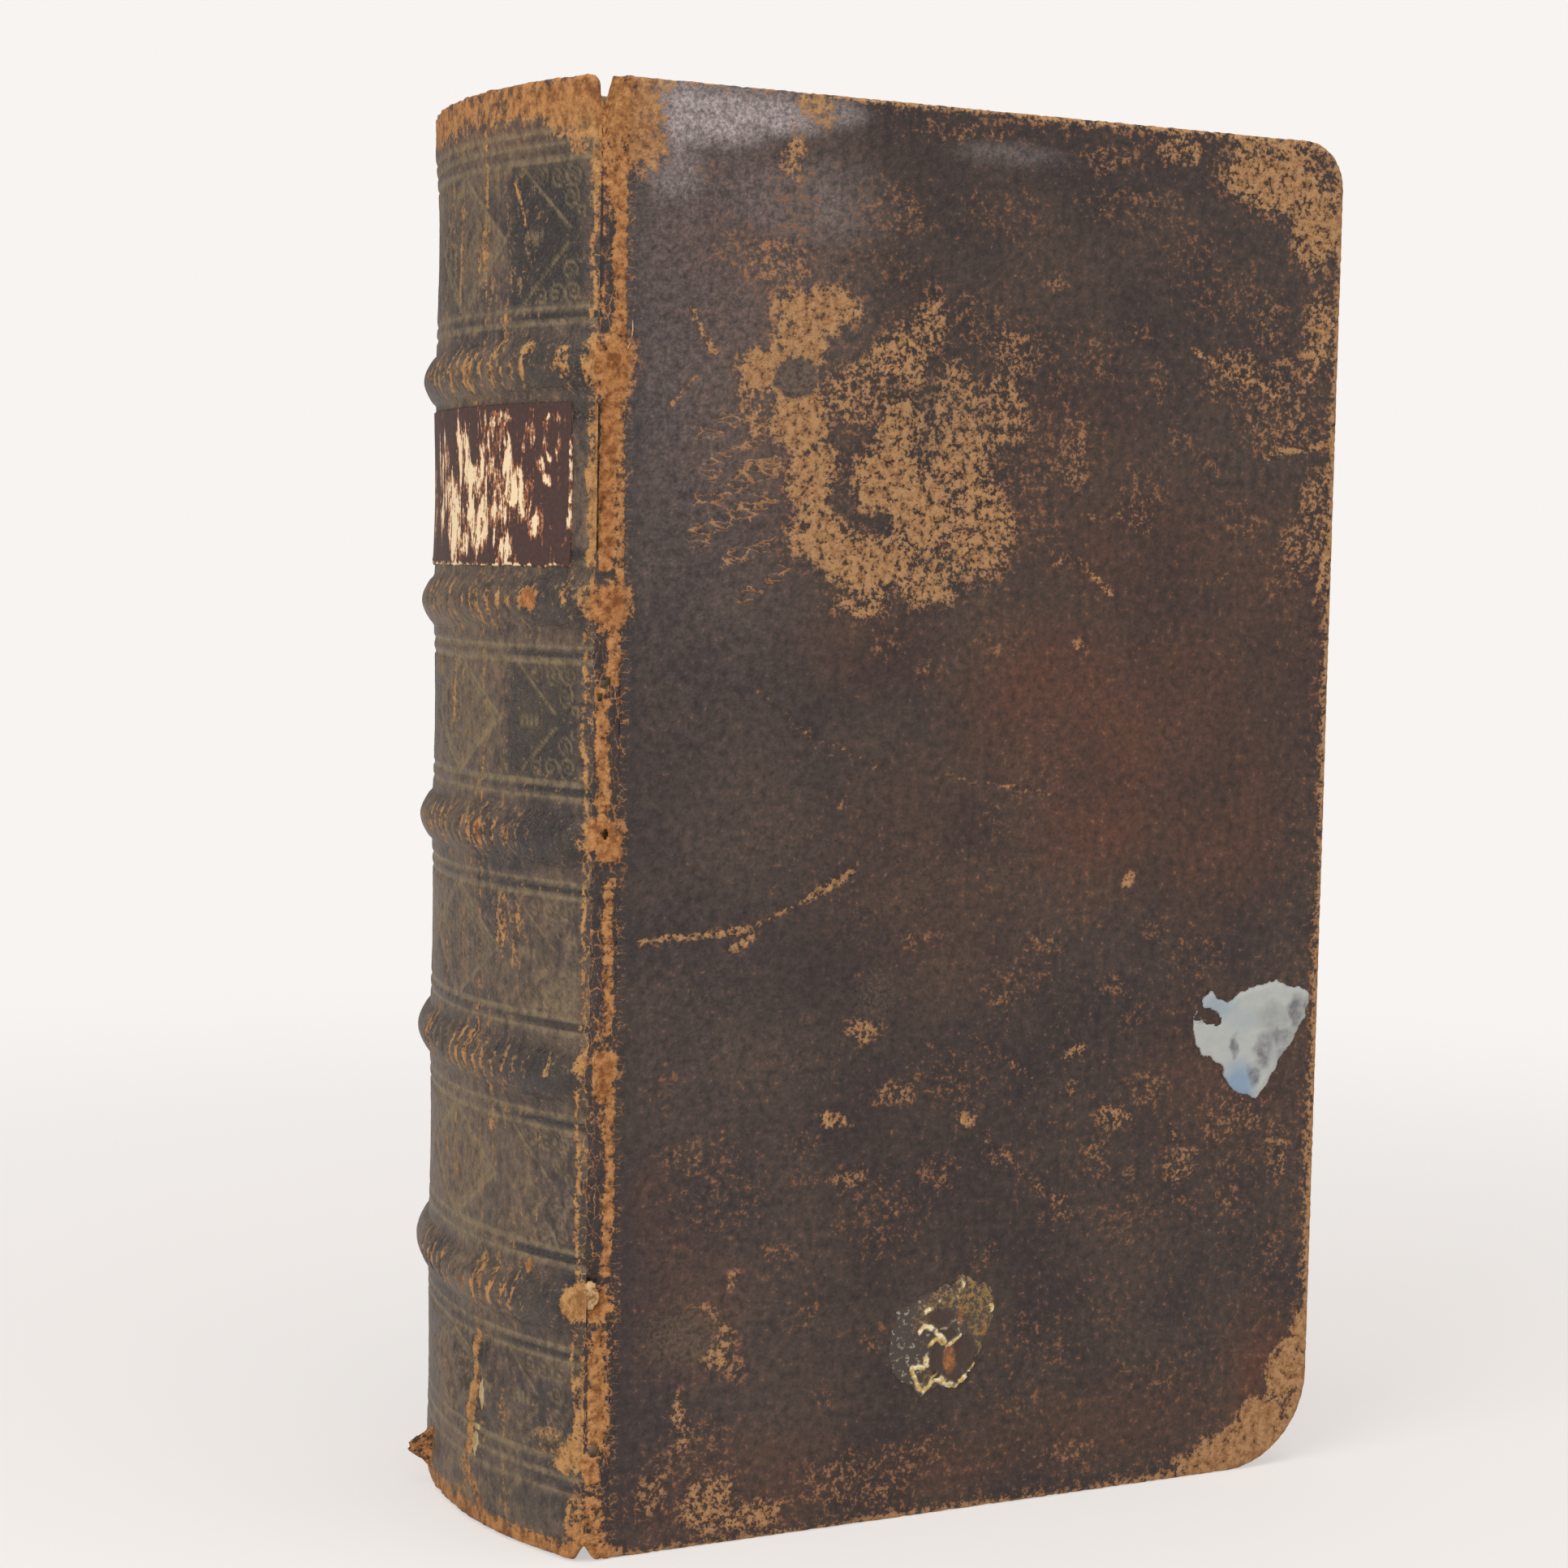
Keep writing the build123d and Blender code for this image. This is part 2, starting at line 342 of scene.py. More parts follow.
def streaked(name, light, dark, scale, detail=3.0, rough=0.85, depth=0.1, contrast=(0.4, 0.6), stain=0.55):
    """A fibrous matt finish whose streaks follow the given scale (per metre) along each axis."""
    material, tree, shader = finish_named(name)
    place = node(tree, "TexCoord").outputs["Object"]
    stretched = node(tree, "Mapping", {"Vector": place, "Scale": scale})
    streaks = node(
        tree, "TexNoise", {"Vector": stretched, "Scale": 1.0, "Detail": detail, "Roughness": 0.6},
    )
    spread = node(
        tree, "MapRange", {"Value": streaks, "From Min": contrast[0], "From Max": contrast[1]},
        interpolation_type="SMOOTHSTEP",
    )
    blotch = node(tree, "TexNoise", {"Vector": place, "Scale": 35.0, "Detail": 5.0, "Roughness": 0.6})
    mixed = node(tree, "Mix", {0: spread, 6: linear(dark), 7: linear(light)}, data_type="RGBA").outputs[2]
    stains = node(
        tree, "MapRange", {"Value": blotch, "From Min": 0.4, "From Max": 0.75, "To Max": stain},
        interpolation_type="SMOOTHSTEP",
    )
    colour = node(tree, "Mix", {0: stains, 6: mixed, 7: linear(dark)}, data_type="RGBA").outputs[2]
    bump = node(tree, "Bump", {"Height": streaks, "Strength": 0.6, "Distance": depth * MM})
    gloss = {"Roughness": rough, "Specular IOR Level": 0.25}
    connect(tree, shader, {"Base Color": colour, "Normal": bump, **gloss})
    return material


cover_calf = worn_calf(
    "worn_stained_calf_boards", "#372a27", "#48382f", "#bb8f63", "#94673f",
    crack=(math.radians(28), (0.36, 1.0, 1.3)),
)
spine_calf = worn_calf(
    "worn_stained_calf_spine", "#352d28", "#66543f", "#c2935d", "#94693e", scuff="#8d6f4c",
    scuff_dark="#6d5239", specks=0.9, stretch=(1, 1, 0.72), crack=(0.0, (1, 1, 0.6)),
)
joint_calf = worn_calf(
    "split_calf_joint", "#2e2421", "#43352d", "#cc9862", "#9a6636", scuff="#9c6c44", scuff_dark="#6f472c",
    crack=(0.0, (1.2, 1.2, 0.45)),
)

# Paper, pasteboard and hemp: matt and fibrous, in streaks from 0.4 mm across.
page_edges = streaked("rag_paper_page_edges", "#d8c6a2", "#8f7650", (6, 2600, 6), depth=0.14)
lining_paper = streaked("waste_paper_lining", "#c9b68f", "#a58d63", (400, 400, 400))
pastedown_paper = streaked(
    "laid_paper_endpaper", "#ddd0b4", "#c9b48c", (200, 200, 420), detail=5, depth=0.03, contrast=(0.3, 0.9),
    stain=0.9,
)
board_paste = streaked("rope_pasteboard", "#a58f6a", "#7c6749", (500, 60, 500), depth=0.2)
hemp = streaked("hemp_sewing_cord", "#c3a173", "#8a6a42", (700, 700, 2600), depth=0.25)


def label_goatskin():
    """Thin goatskin, once red, now nearly black-brown, flaking off down to its pale flesh side."""
    material, tree, shader = finish_named("flaking_goatskin_label")
    place = node(tree, "TexCoord").outputs["Object"]
    upright = node(tree, "Mapping", {"Vector": place, "Scale": (560.0, 560.0, 150.0)})
    loss = node(tree, "Attribute", attribute_name="wear")
    parts = node(tree, "SeparateColor", {"Color": loss.outputs["Color"]})
    flakes = node(
        tree, "TexNoise",
        {"Vector": upright, "Scale": 1.0, "Detail": 5.0, "Roughness": 0.68, "Distortion": 0.3},
    )
    grain = node(tree, "TexNoise", {"Vector": place, "Scale": 1500.0, "Detail": 4.0, "Roughness": 0.6})
    lost = node(tree, "Math", {0: flakes, 1: 2.6, 2: -1.3}, operation="MULTIPLY_ADD")
    fine = node(tree, "Math", {0: grain, 1: 0.7, 2: -0.35}, operation="MULTIPLY_ADD")
    total = node(tree, "Math", {0: lost, 1: fine}, operation="ADD")
    with_map = node(tree, "Math", {0: total, 1: parts.outputs[0]}, operation="ADD")
    rim = node(
        tree, "MapRange", {"Value": with_map, "From Min": 0.36, "From Max": 0.5},
        interpolation_type="SMOOTHSTEP",
    )
    pale = node(
        tree, "MapRange", {"Value": with_map, "From Min": 0.5, "From Max": 0.62},
        interpolation_type="SMOOTHSTEP",
    )
    skin = node(
        tree, "Mix", {0: grain, 6: linear("#2c2020"), 7: linear("#5d4038")}, data_type="RGBA",
    ).outputs[2]
    rust = node(tree, "Mix", {0: rim, 6: skin, 7: linear("#a9653c")}, data_type="RGBA").outputs[2]
    colour = node(tree, "Mix", {0: pale, 6: rust, 7: linear("#f6dcb4")}, data_type="RGBA").outputs[2]
    height = node(tree, "Math", {0: pale, 1: -0.8, 2: grain}, operation="MULTIPLY_ADD")
    bump = node(tree, "Bump", {"Height": height, "Strength": 0.7, "Distance": 0.0002})
    gloss = {"Roughness": 0.62, "Specular IOR Level": 0.35}
    connect(tree, shader, {"Base Color": colour, "Normal": bump, **gloss})
    return material


def linen_endband():
    """Linen thread wound over a core in two colours, faded green and natural, 0.8 mm a turn."""
    material, tree, shader = finish_named("faded_linen_endband")
    place = node(tree, "TexCoord").outputs["Object"]
    turns = node(
        tree, "TexWave", {"Vector": place, "Scale": 62.0, "Distortion": 0.4}, wave_type="BANDS",
        bands_direction="Y",
    ).outputs["Fac"]
    dirt = node(tree, "TexNoise", {"Vector": place, "Scale": 700.0, "Detail": 4.0})
    either = node(tree, "Math", {0: turns, 1: 0.5}, operation="GREATER_THAN")
    threads = node(
        tree, "Mix", {0: either, 6: linear("#6f6f4c"), 7: linear("#b59f70")}, data_type="RGBA",
    ).outputs[2]
    colour = node(tree, "Mix", {0: dirt, 6: threads, 7: linear("#5d5138")}, data_type="RGBA").outputs[2]
    bump = node(tree, "Bump", {"Height": dirt, "Strength": 0.5, "Distance": 0.0002})
    connect(tree, shader, {"Base Color": colour, "Normal": bump, "Roughness": 0.8})
    return material


def spilt_paint():
    """A dab of chalky oil paint: grey-white, pale blue in places, with thin grey smears."""
    material, tree, shader = finish_named("dried_oil_paint")
    place = node(tree, "TexCoord").outputs["Object"]
    blotch = node(tree, "TexNoise", {"Vector": place, "Scale": 330.0, "Detail": 4.0, "Roughness": 0.62})
    kind = node(tree, "Attribute", attribute_name="wear")
    parts = node(tree, "SeparateColor", {"Color": kind.outputs["Color"]})
    chalk = node(
        tree, "Mix", {0: blotch, 6: linear("#a9adaa"), 7: linear("#c6c8c2")}, data_type="RGBA",
    ).outputs[2]
    blue = node(
        tree, "Mix", {0: parts.outputs[1], 6: chalk, 7: linear("#7d9ab6")}, data_type="RGBA",
    ).outputs[2]
    patchy = node(
        tree, "MapRange", {"Value": blotch, "From Min": 0.3, "From Max": 0.6, "To Min": 0.35},
        interpolation_type="SMOOTHSTEP",
    )
    thin = node(tree, "Math", {0: parts.outputs[0], 1: patchy}, operation="MULTIPLY")
    smeared = node(tree, "Mix", {0: thin, 6: blue, 7: linear("#656269")}, data_type="RGBA").outputs[2]
    colour = node(
        tree, "Mix", {0: parts.outputs[2], 6: smeared, 7: linear("#5b4a42")}, data_type="RGBA",
    ).outputs[2]
    bump = node(tree, "Bump", {"Height": blotch, "Strength": 0.5, "Distance": 0.0005})
    gloss = {"Roughness": 0.62, "Specular IOR Level": 0.3}
    connect(tree, shader, {"Base Color": colour, "Normal": bump, **gloss})
    return material


def dried_crust():
    """A dried spill: grey grit on the leather, gold crust, dark and orange beads inside a cream rim."""
    material, tree, shader = finish_named("dried_spill_crust")
    place = node(tree, "TexCoord").outputs["Object"]
    kind = node(tree, "Attribute", attribute_name="wear")
    parts = node(tree, "SeparateColor", {"Color": kind.outputs["Color"]})
    grit = node(tree, "TexNoise", {"Vector": place, "Scale": 1050.0, "Detail": 3.0, "Roughness": 0.7})
    specks = node(
        tree, "MapRange", {"Value": grit, "From Min": 0.55, "From Max": 0.66},
        interpolation_type="SMOOTHSTEP",
    )
    gritty = node(
        tree, "Mix", {0: specks, 6: linear("#4a3d36"), 7: linear("#a39c8a")}, data_type="RGBA",
    ).outputs[2]
    flaky = node(
        tree, "MapRange", {"Value": grit, "From Min": 0.44, "From Max": 0.58},
        interpolation_type="SMOOTHSTEP",
    )
    gilt = node(tree, "Math", {0: kind.outputs["Alpha"], 1: flaky}, operation="MULTIPLY")
    golden = node(tree, "Mix", {0: gilt, 6: gritty, 7: linear("#94743a")}, data_type="RGBA").outputs[2]
    beads = node(
        tree, "Mix", {0: parts.outputs[1], 6: golden, 7: linear("#3d291b")}, data_type="RGBA",
    ).outputs[2]
    clear = node(tree, "Math", {0: flaky, 1: 0.65, 2: 0.35}, operation="MULTIPLY_ADD")
    orange = node(tree, "Math", {0: parts.outputs[2], 1: clear}, operation="MULTIPLY")
    amber = node(tree, "Mix", {0: orange, 6: beads, 7: linear("#a9682f")}, data_type="RGBA").outputs[2]
    cream = node(
        tree, "Mix", {0: flaky, 6: linear("#d0ab58"), 7: linear("#f3e8c6")}, data_type="RGBA",
    ).outputs[2]
    colour = node(tree, "Mix", {0: parts.outputs[0], 6: amber, 7: cream}, data_type="RGBA").outputs[2]
    gloss = node(tree, "MapRange", {"Value": parts.outputs[1], "To Min": 0.6, "To Max": 0.25})
    bump = node(tree, "Bump", {"Height": grit, "Strength": 0.6, "Distance": 0.0003})
    connect(tree, shader, {"Base Color": colour, "Roughness": gloss, "Normal": bump})
    return material


goatskin = label_goatskin()
linen = linen_endband()
oil_paint = spilt_paint()
crust = dried_crust()
frayed_hemp = streaked("frayed_hemp_end", "#dcb98a", "#94693f", (900, 900, 900), detail=5, depth=0.4)

# ---------------------------------------------------------------- where the leather is worn

# (x, z, half width, half height, strength) on the front cover, in millimetres from its spine edge
# and from its foot.
GRAZE = [
    (34, 205, 10, 5, 0.74), (26, 195, 7, 5, 0.76), (31, 199, 7, 7, 0.68), (32, 187, 7, 8, 0.72),
    (34, 177, 6, 10, 0.68), (36, 168, 8, 7, 0.7), (45, 164, 12, 6, 0.72), (48, 178, 9, 8, 0.7),
    (55, 172, 8, 10, 0.68), (51, 187, 7, 7, 0.62), (50, 198, 8, 7, 0.56), (56, 204, 5, 8, 0.52),
    (61, 190, 8, 10, 0.54), (42, 192, 9, 9, 0.5), (64, 178, 9, 12, 0.5), (27, 212, 11, 7, 0.44),
    (19, 214, 7, 6, 0.38), (30, 222, 5, 12, 0.34), (44, 157, 8, 4, 0.52), (60, 165, 6, 6, 0.5),
    (76, 183, 9, 13, 0.36), (82, 199, 10, 9, 0.3), (66, 205, 10, 8, 0.36), (45, 212, 14, 7, 0.3),
    (48, 151, 6, 4, 0.36), (78, 172, 7, 8, 0.34), (23, 188, 4, 8, 0.5), (66, 170, 9, 12, 0.6),
    (62, 182, 9, 10, 0.62), (70, 190, 8, 10, 0.5), (56, 160, 8, 5, 0.58), (72, 200, 8, 8, 0.44),
    (84, 186, 6, 8, 0.4), (90, 200, 6, 6, 0.36),
]
SCUFFS = [
    (56, 100, 5, 3, 0.26), (70, 120, 4, 3, 0.26), (95, 90, 5, 3, 0.3), (74, 62, 6, 4, 0.3),
    (52, 74, 6, 3, 0.36), (60, 60, 6, 5, 0.32), (44, 60, 5, 3, 0.36), (30, 48, 5, 4, 0.3),
    (84, 52, 6, 4, 0.26), (92, 60, 5, 6, 0.32), (104, 72, 7, 4, 0.33), (110, 58, 6, 5, 0.36),
    (121, 52, 5, 8, 0.3), (131, 58, 4, 8, 0.34), (130, 40, 5, 7, 0.27), (70, 44, 5, 4, 0.27),
    (36, 38, 5, 5, 0.27), (14, 66, 6, 4, 0.32), (9, 78, 4, 5, 0.26), (34, 66, 5, 4, 0.28),
    (103, 100, 4, 3, 0.3), (90, 118, 4, 3, 0.26), (80, 98, 6, 4, 0.3), (100, 84, 4, 4, 0.28),
    (56, 10, 12, 5, 0.3), (88, 8, 10, 4, 0.3), (40, 8, 8, 5, 0.32), (108, 20, 6, 5, 0.28),
    (96, 32, 6, 4, 0.26), (84, 26, 5, 4, 0.26), (120, 172, 6, 5, 0.3), (112, 182, 5, 4, 0.3),
    (134, 176, 4, 8, 0.34), (128, 162, 5, 5, 0.28), (106, 186, 5, 5, 0.3), (30, 230, 3, 6, 0.42),
    (34, 237, 4, 3, 0.4), (80, 212, 4, 3, 0.34), (3, 232, 5, 10, 0.62), (14, 226, 3, 2, 0.3),
    (66, 69, 3, 2, 0.5), (41, 70, 4, 2, 0.5), (40, 124, 3, 2, 0.3), (46, 85, 4, 3, 0.4),
    (87, 79, 3, 2, 0.42), (98, 109, 2, 2, 0.5), (87, 73, 3, 2, 0.4), (96, 67, 5, 3, 0.4),
    (118, 62, 5, 3, 0.33), (101, 57, 4, 3, 0.3), (72, 89, 3, 2, 0.34), (86, 150, 3, 2, 0.4),
    (83, 165, 3, 2, 0.4), (89, 172, 3, 2, 0.36), (36, 60, 6, 4, 0.28), (17, 39, 4, 4, 0.42),
    (20, 34, 4, 6, 0.44), (23, 29, 3, 5, 0.36), (22, 44, 2, 2, 0.4), (13, 21, 2, 8, 0.42),
    (39, 23, 4, 3, 0.3), (18, 7, 7, 6, 0.42), (27, 5, 8, 3, 0.42), (8, 10, 5, 6, 0.36), (49, 32, 4, 3, 0.3),
    (60, 12, 10, 4, 0.28), (78, 18, 8, 4, 0.26), (128, 196, 9, 10, 0.34), (124, 208, 6, 6, 0.33),
    (118, 200, 7, 4, 0.38), (134, 205, 4, 12, 0.4), (108, 218, 10, 8, 0.26), (124, 232, 14, 8, 0.52),
    (133, 226, 6, 12, 0.5), (104, 236, 8, 3, 0.36), (90, 234, 10, 3, 0.3), (62, 236, 12, 2, 0.3),
    (123, 5, 8, 4, 0.62), (129, 9, 6, 5, 0.7), (134, 17, 4, 7, 0.6), (137, 24, 3, 6, 0.46),
    (118, 3, 8, 3, 0.55), (124, 60, 8, 6, 0.24), (130, 62, 5, 5, 0.3), (112, 50, 6, 4, 0.26),
    (101, 196, 4, 5, 0.3), (97, 205, 5, 4, 0.27), (70, 150, 5, 3, 0.28), (57, 146, 5, 3, 0.3),
    (126, 190, 12, 9, 0.34), (116, 196, 9, 5, 0.34), (132, 168, 7, 9, 0.34), (98, 176, 8, 9, 0.3),
    (84, 182, 7, 8, 0.36), (116, 212, 14, 7, 0.28), (96, 226, 16, 5, 0.28), (70, 222, 14, 6, 0.26),
    (48, 222, 10, 6, 0.3), (112, 96, 9, 7, 0.26), (121, 66, 12, 7, 0.32), (100, 48, 12, 7, 0.26),
    (76, 92, 9, 6, 0.26), (64, 76, 12, 8, 0.27), (50, 52, 12, 10, 0.26), (20, 60, 10, 12, 0.26),
    (16, 16, 12, 8, 0.3), (46, 8, 18, 6, 0.3), (80, 30, 12, 8, 0.24),
]
SCRATCHES = [
    (5, 102, 24, 103, 0.9, 0.6), (24, 103, 35, 108, 0.6, 0.5), (35, 108, 43, 112, 0.9, 0.6),
    (21, 100, 25, 102, 1.0, 0.6), (108, 202, 118, 198, 0.7, 0.6), (118, 198, 126, 195, 0.8, 0.62),
    (124, 184, 139, 187, 0.7, 0.62), (24, 143, 35, 135, 0.35, 0.5), (35, 135, 49, 129, 0.35, 0.44),
    (61, 128, 84, 124, 0.4, 0.5), (67, 83, 79, 75, 0.6, 0.46), (86, 165, 93, 159, 0.8, 0.6),
    (46, 62, 54, 52, 0.5, 0.46), (108, 66, 110, 56, 0.4, 0.55), (92, 174, 100, 170, 0.5, 0.46),
    (12, 204, 16, 197, 1.0, 0.62), (8, 188, 13, 193, 0.5, 0.55), (20, 70, 18, 58, 0.3, 0.4),
    (95, 130, 104, 122, 0.3, 0.4), (128, 150, 131, 146, 0.4, 0.4), (111, 160, 120, 165, 0.4, 0.42),
    (71, 213, 79, 213, 0.3, 0.42), (40, 94, 52, 96, 0.4, 0.35), (138, 168, 136, 158, 0.6, 0.5),
    (60, 100, 66, 92, 0.3, 0.34), (125, 40, 128, 31, 0.3, 0.4), (110, 24, 112, 14, 0.3, 0.36),
]
BROAD_RUBS = [(71, 65, 88, 50, 1.6, 0.35), (88, 50, 100, 44, 1.2, 0.22)]
RIVERS = [
    (14, 168, 26, 174, 1.6, 0.9), (14, 173, 28, 180, 1.6, 1.0), (15, 178, 27, 186, 1.6, 0.9),
    (18, 163, 27, 168, 1.4, 0.8), (22, 158, 30, 163, 1.4, 0.7), (13, 184, 24, 188, 1.2, 0.6),
]
GLOWS = [
    (82, 140, 20, 18, 0.9), (92, 128, 18, 22, 1.0), (116, 121, 18, 20, 0.8), (107, 142, 20, 16, 0.8),
    (100, 165, 20, 14, 0.6), (86, 188, 14, 10, 0.3), (20, 212, 18, 22, 0.36), (24, 180, 18, 18, 0.3),
    (125, 150, 16, 26, 0.5), (60, 110, 22, 20, 0.3), (7, 58, 6, 8, 0.55), (11, 49, 7, 5, 0.5),
    (12, 40, 12, 14, 0.4), (20, 8, 26, 10, 0.55), (96, 12, 30, 8, 0.45), (60, 8, 20, 6, 0.5),
    (120, 75, 20, 16, 0.4), (131, 15, 10, 15, 1.0), (74, 170, 14, 10, 0.3), (48, 150, 16, 8, 0.35),
]
FLECKED = [
    (36, 82, 18, 9, 0.5), (51, 108, 16, 12, 0.6), (30, 118, 14, 8, 0.5), (21, 92, 12, 8, 0.4),
    (60, 92, 14, 9, 0.45), (72, 106, 12, 9, 0.4), (44, 132, 12, 7, 0.3), (66, 155, 12, 8, 0.4),
    (88, 104, 12, 9, 0.3), (78, 128, 10, 10, 0.4),
]
DULLED = [
    (31, 194, 4, 3.4, 1.0), (13, 36, 7, 5, 0.9), (48, 91, 4, 5, 0.7), (17, 206, 2, 3, 0.35),
    (58, 189, 8, 7, 0.45),
]
# painted sheen: spots near the head painted light grey as a highlight on the polished leather
PAINTED_SHEEN_SPOTS = [
    (9, 235, 8, 6, 0.95), (17, 235, 9, 5, 0.95), (27, 236, 9, 3.6, 0.9), (36, 237, 7, 2.4, 0.6),
    (70, 233, 10, 2, 0.2), (8, 226, 7, 6, 0.45), (30, 222, 16, 8, 0.24), (20, 205, 22, 16, 0.16),
]

# The back cover is shelf-worn more evenly.
BACK_SCUFFS = [
    (70, 120, 22, 26, 0.3), (96, 60, 16, 12, 0.34), (40, 190, 14, 12, 0.34), (110, 190, 12, 16, 0.3),
    (132, 232, 10, 9, 0.58), (132, 8, 10, 9, 0.58), (4, 234, 6, 8, 0.5), (5, 6, 7, 7, 0.5),
    (58, 40, 14, 6, 0.32), (24, 90, 8, 10, 0.26), (84, 158, 8, 5, 0.4), (60, 74, 6, 4, 0.4),
]
BACK_SCRATCHES = [
    (20, 150, 62, 168, 0.5, 0.5), (84, 100, 120, 92, 0.5, 0.5), (50, 60, 66, 30, 0.7, 0.5),
    (100, 210, 126, 196, 0.6, 0.55), (30, 28, 52, 34, 0.5, 0.5), (90, 140, 98, 120, 0.4, 0.5),
]
BACK_GLOWS = [(80, 130, 34, 50, 0.6), (40, 60, 26, 26, 0.4), (110, 40, 24, 24, 0.5), (30, 200, 20, 20, 0.4)]


def joint_wear(u, z, side):
    """Bare suede along a joint: u is millimetres across it, 0 at the cover's edge, minus to the spine."""
    if side < 0:
        knots = [
            (-1.8, BANDS[4], 4.6, 6.4, 1.05), (-1.8, BANDS[3] + 0.6, 4.6, 4.6, 1.1),
            (-2.0, BANDS[2] + 0.8, 3.8, 4.4, 1.05), (-2.6, BANDS[1] + 2, 3.4, 3.4, 1.0),
            (-2.8, BANDS[1] - 1.4, 2.2, 3.0, 0.95), (-4.6, BANDS[0] + 1.2, 4.6, 3.6, 1.0),
        ]
        ends = [
            (-3.0, 236, 8.5, 7.5, 0.95), (1.6, 232, 3.6, 9, 0.66), (-2.6, 226, 3.4, 9, 0.8),
            (-5.0, 18, 4.6, 3.4, 0.85), (-3.4, 26, 2.6, 8, 0.8), (-4.0, 6, 5.4, 8, 0.66),
            (-4, 1, 8, 2.6, 0.95), (-5.4, 18, 7, 5, 0.5),
        ]
        lines = [
            (-1.9, 226, -1.3, 200, 1.4, 0.74), (-1.2, 190, -0.9, 160, 1.0, 0.6),
            (-3.2, 189, -3.8, 164, 1.4, 1.0), (-1.7, 152, -1.5, 124, 1.1, 0.68),
            (-2.2, 112, -2.1, 88, 0.9, 0.62), (-1.4, 78, -1.3, 62, 1.0, 0.66),
            (-1.2, 62, -2.0, 48, 0.9, 0.66), (-3.0, 38, -3.0, 14, 1.3, 0.74),
            (-5.4, 152, -5.2, 122, 0.5, 0.56), (-5.0, 112, -5.6, 86, 0.45, 0.5),
            (-5.2, 222, -5.0, 202, 0.5, 0.55), (-5.8, 78, -5.6, 48, 0.5, 0.56),
            (-5.6, 187, -5.0, 162, 0.5, 0.6), (-6.0, 38, -5.6, 20, 0.5, 0.55),
        ]
    else:
        knots = [(-2, band, 3.2, 3.6, 0.85) for band in BANDS]
        ends = [(-3, 236, 7, 6, 0.85), (-3, 4, 7, 6, 0.85)]
        lines = [(-2.2, 236, -2, 120, 0.9, 0.7), (-2, 120, -2.4, 4, 0.9, 0.7)]
    wander = 0.7 * drift(u * 0.5, z, 5.0, 11.0 + side, 3)
    wave = 0.5 * drift(u * 0.5, z, 16.0, 17.0 + side, 2)
    bent = u + wander + wave
    lines = [(a, b, c, d, 1.25 * wide, 1.12 * strong) for a, b, c, d, wide, strong in lines]
    bare = np.maximum(spots(bent, z, knots), np.maximum(spots(bent, z, ends), strokes(bent, z, lines)))
    raw = np.maximum(spots(u, z, knots), strokes(u, z, lines[2:3])) * 0.7 + 0.35 * spots(u, z, ends)
    raw = np.maximum(raw, 0.4 * (1 - smooth(np.abs(u + 2), 3, 7)))
    return bare, raw


def joint_rise(u, z, side):
    """How the leather swells over the slips and sinks in the splits, in millimetres."""
    rise = 0.0 * u
    for band in BANDS:
        rise = rise + 0.55 * np.exp(-(((u + 1.9) / 3.2) ** 2) - ((z - band - 0.4) / 3.6) ** 2)
    if side < 0:
        rise = rise - 0.8 * strokes(
            u + 0.3 * drift(u, z, 4.0, 3.0, 2), z, [(-3.4, 187, -3.9, 166, 1.1, 1.0)],
        )
        rise = rise - 0.35 * strokes(u, z, [(-3.9, 234, -3.0, 200, 0.7, 1.0)])
        rise = rise - 1.45 * spots(u, z, [(-3.2, BANDS[0] + 2.2, 3.1, 4.2, 1.0)])
    return rise


# ---------------------------------------------------------------- covers


def outline_gap(x, z, head_round, tail_round):
    """Distance in from the cover's head, tail and fore-edge, with its rounded corners."""
    gap = np.minimum(np.minimum(FORE_X - x, z), HEIGHT - z)
    for corner_round, corner_z, toward in ((head_round, HEIGHT, 1), (tail_round, 0.0, -1)):
        p = x - (FORE_X - corner_round)
        q = toward * (z - corner_z) + corner_round
        inside = (p > 0) & (q > 0)
        gap = np.where(inside, corner_round - np.hypot(p, q), gap)
    return gap


SCUFFED = 1.22  # how strongly the scuffs show, against what their table says
COVER_INSET = 0.9  # the flat face stops here, and the leather turns over the board's edge
COVER_EDGE = [
    (0.3, 0.14), (0.05, 0.5), (0.0, 1.2), (0.0, 2.6), (0.2, 3.4), (0.8, 3.78), (7.0, 3.8), (7.0, 3.2),
]
COVER_START = BOARD_X + 0.4


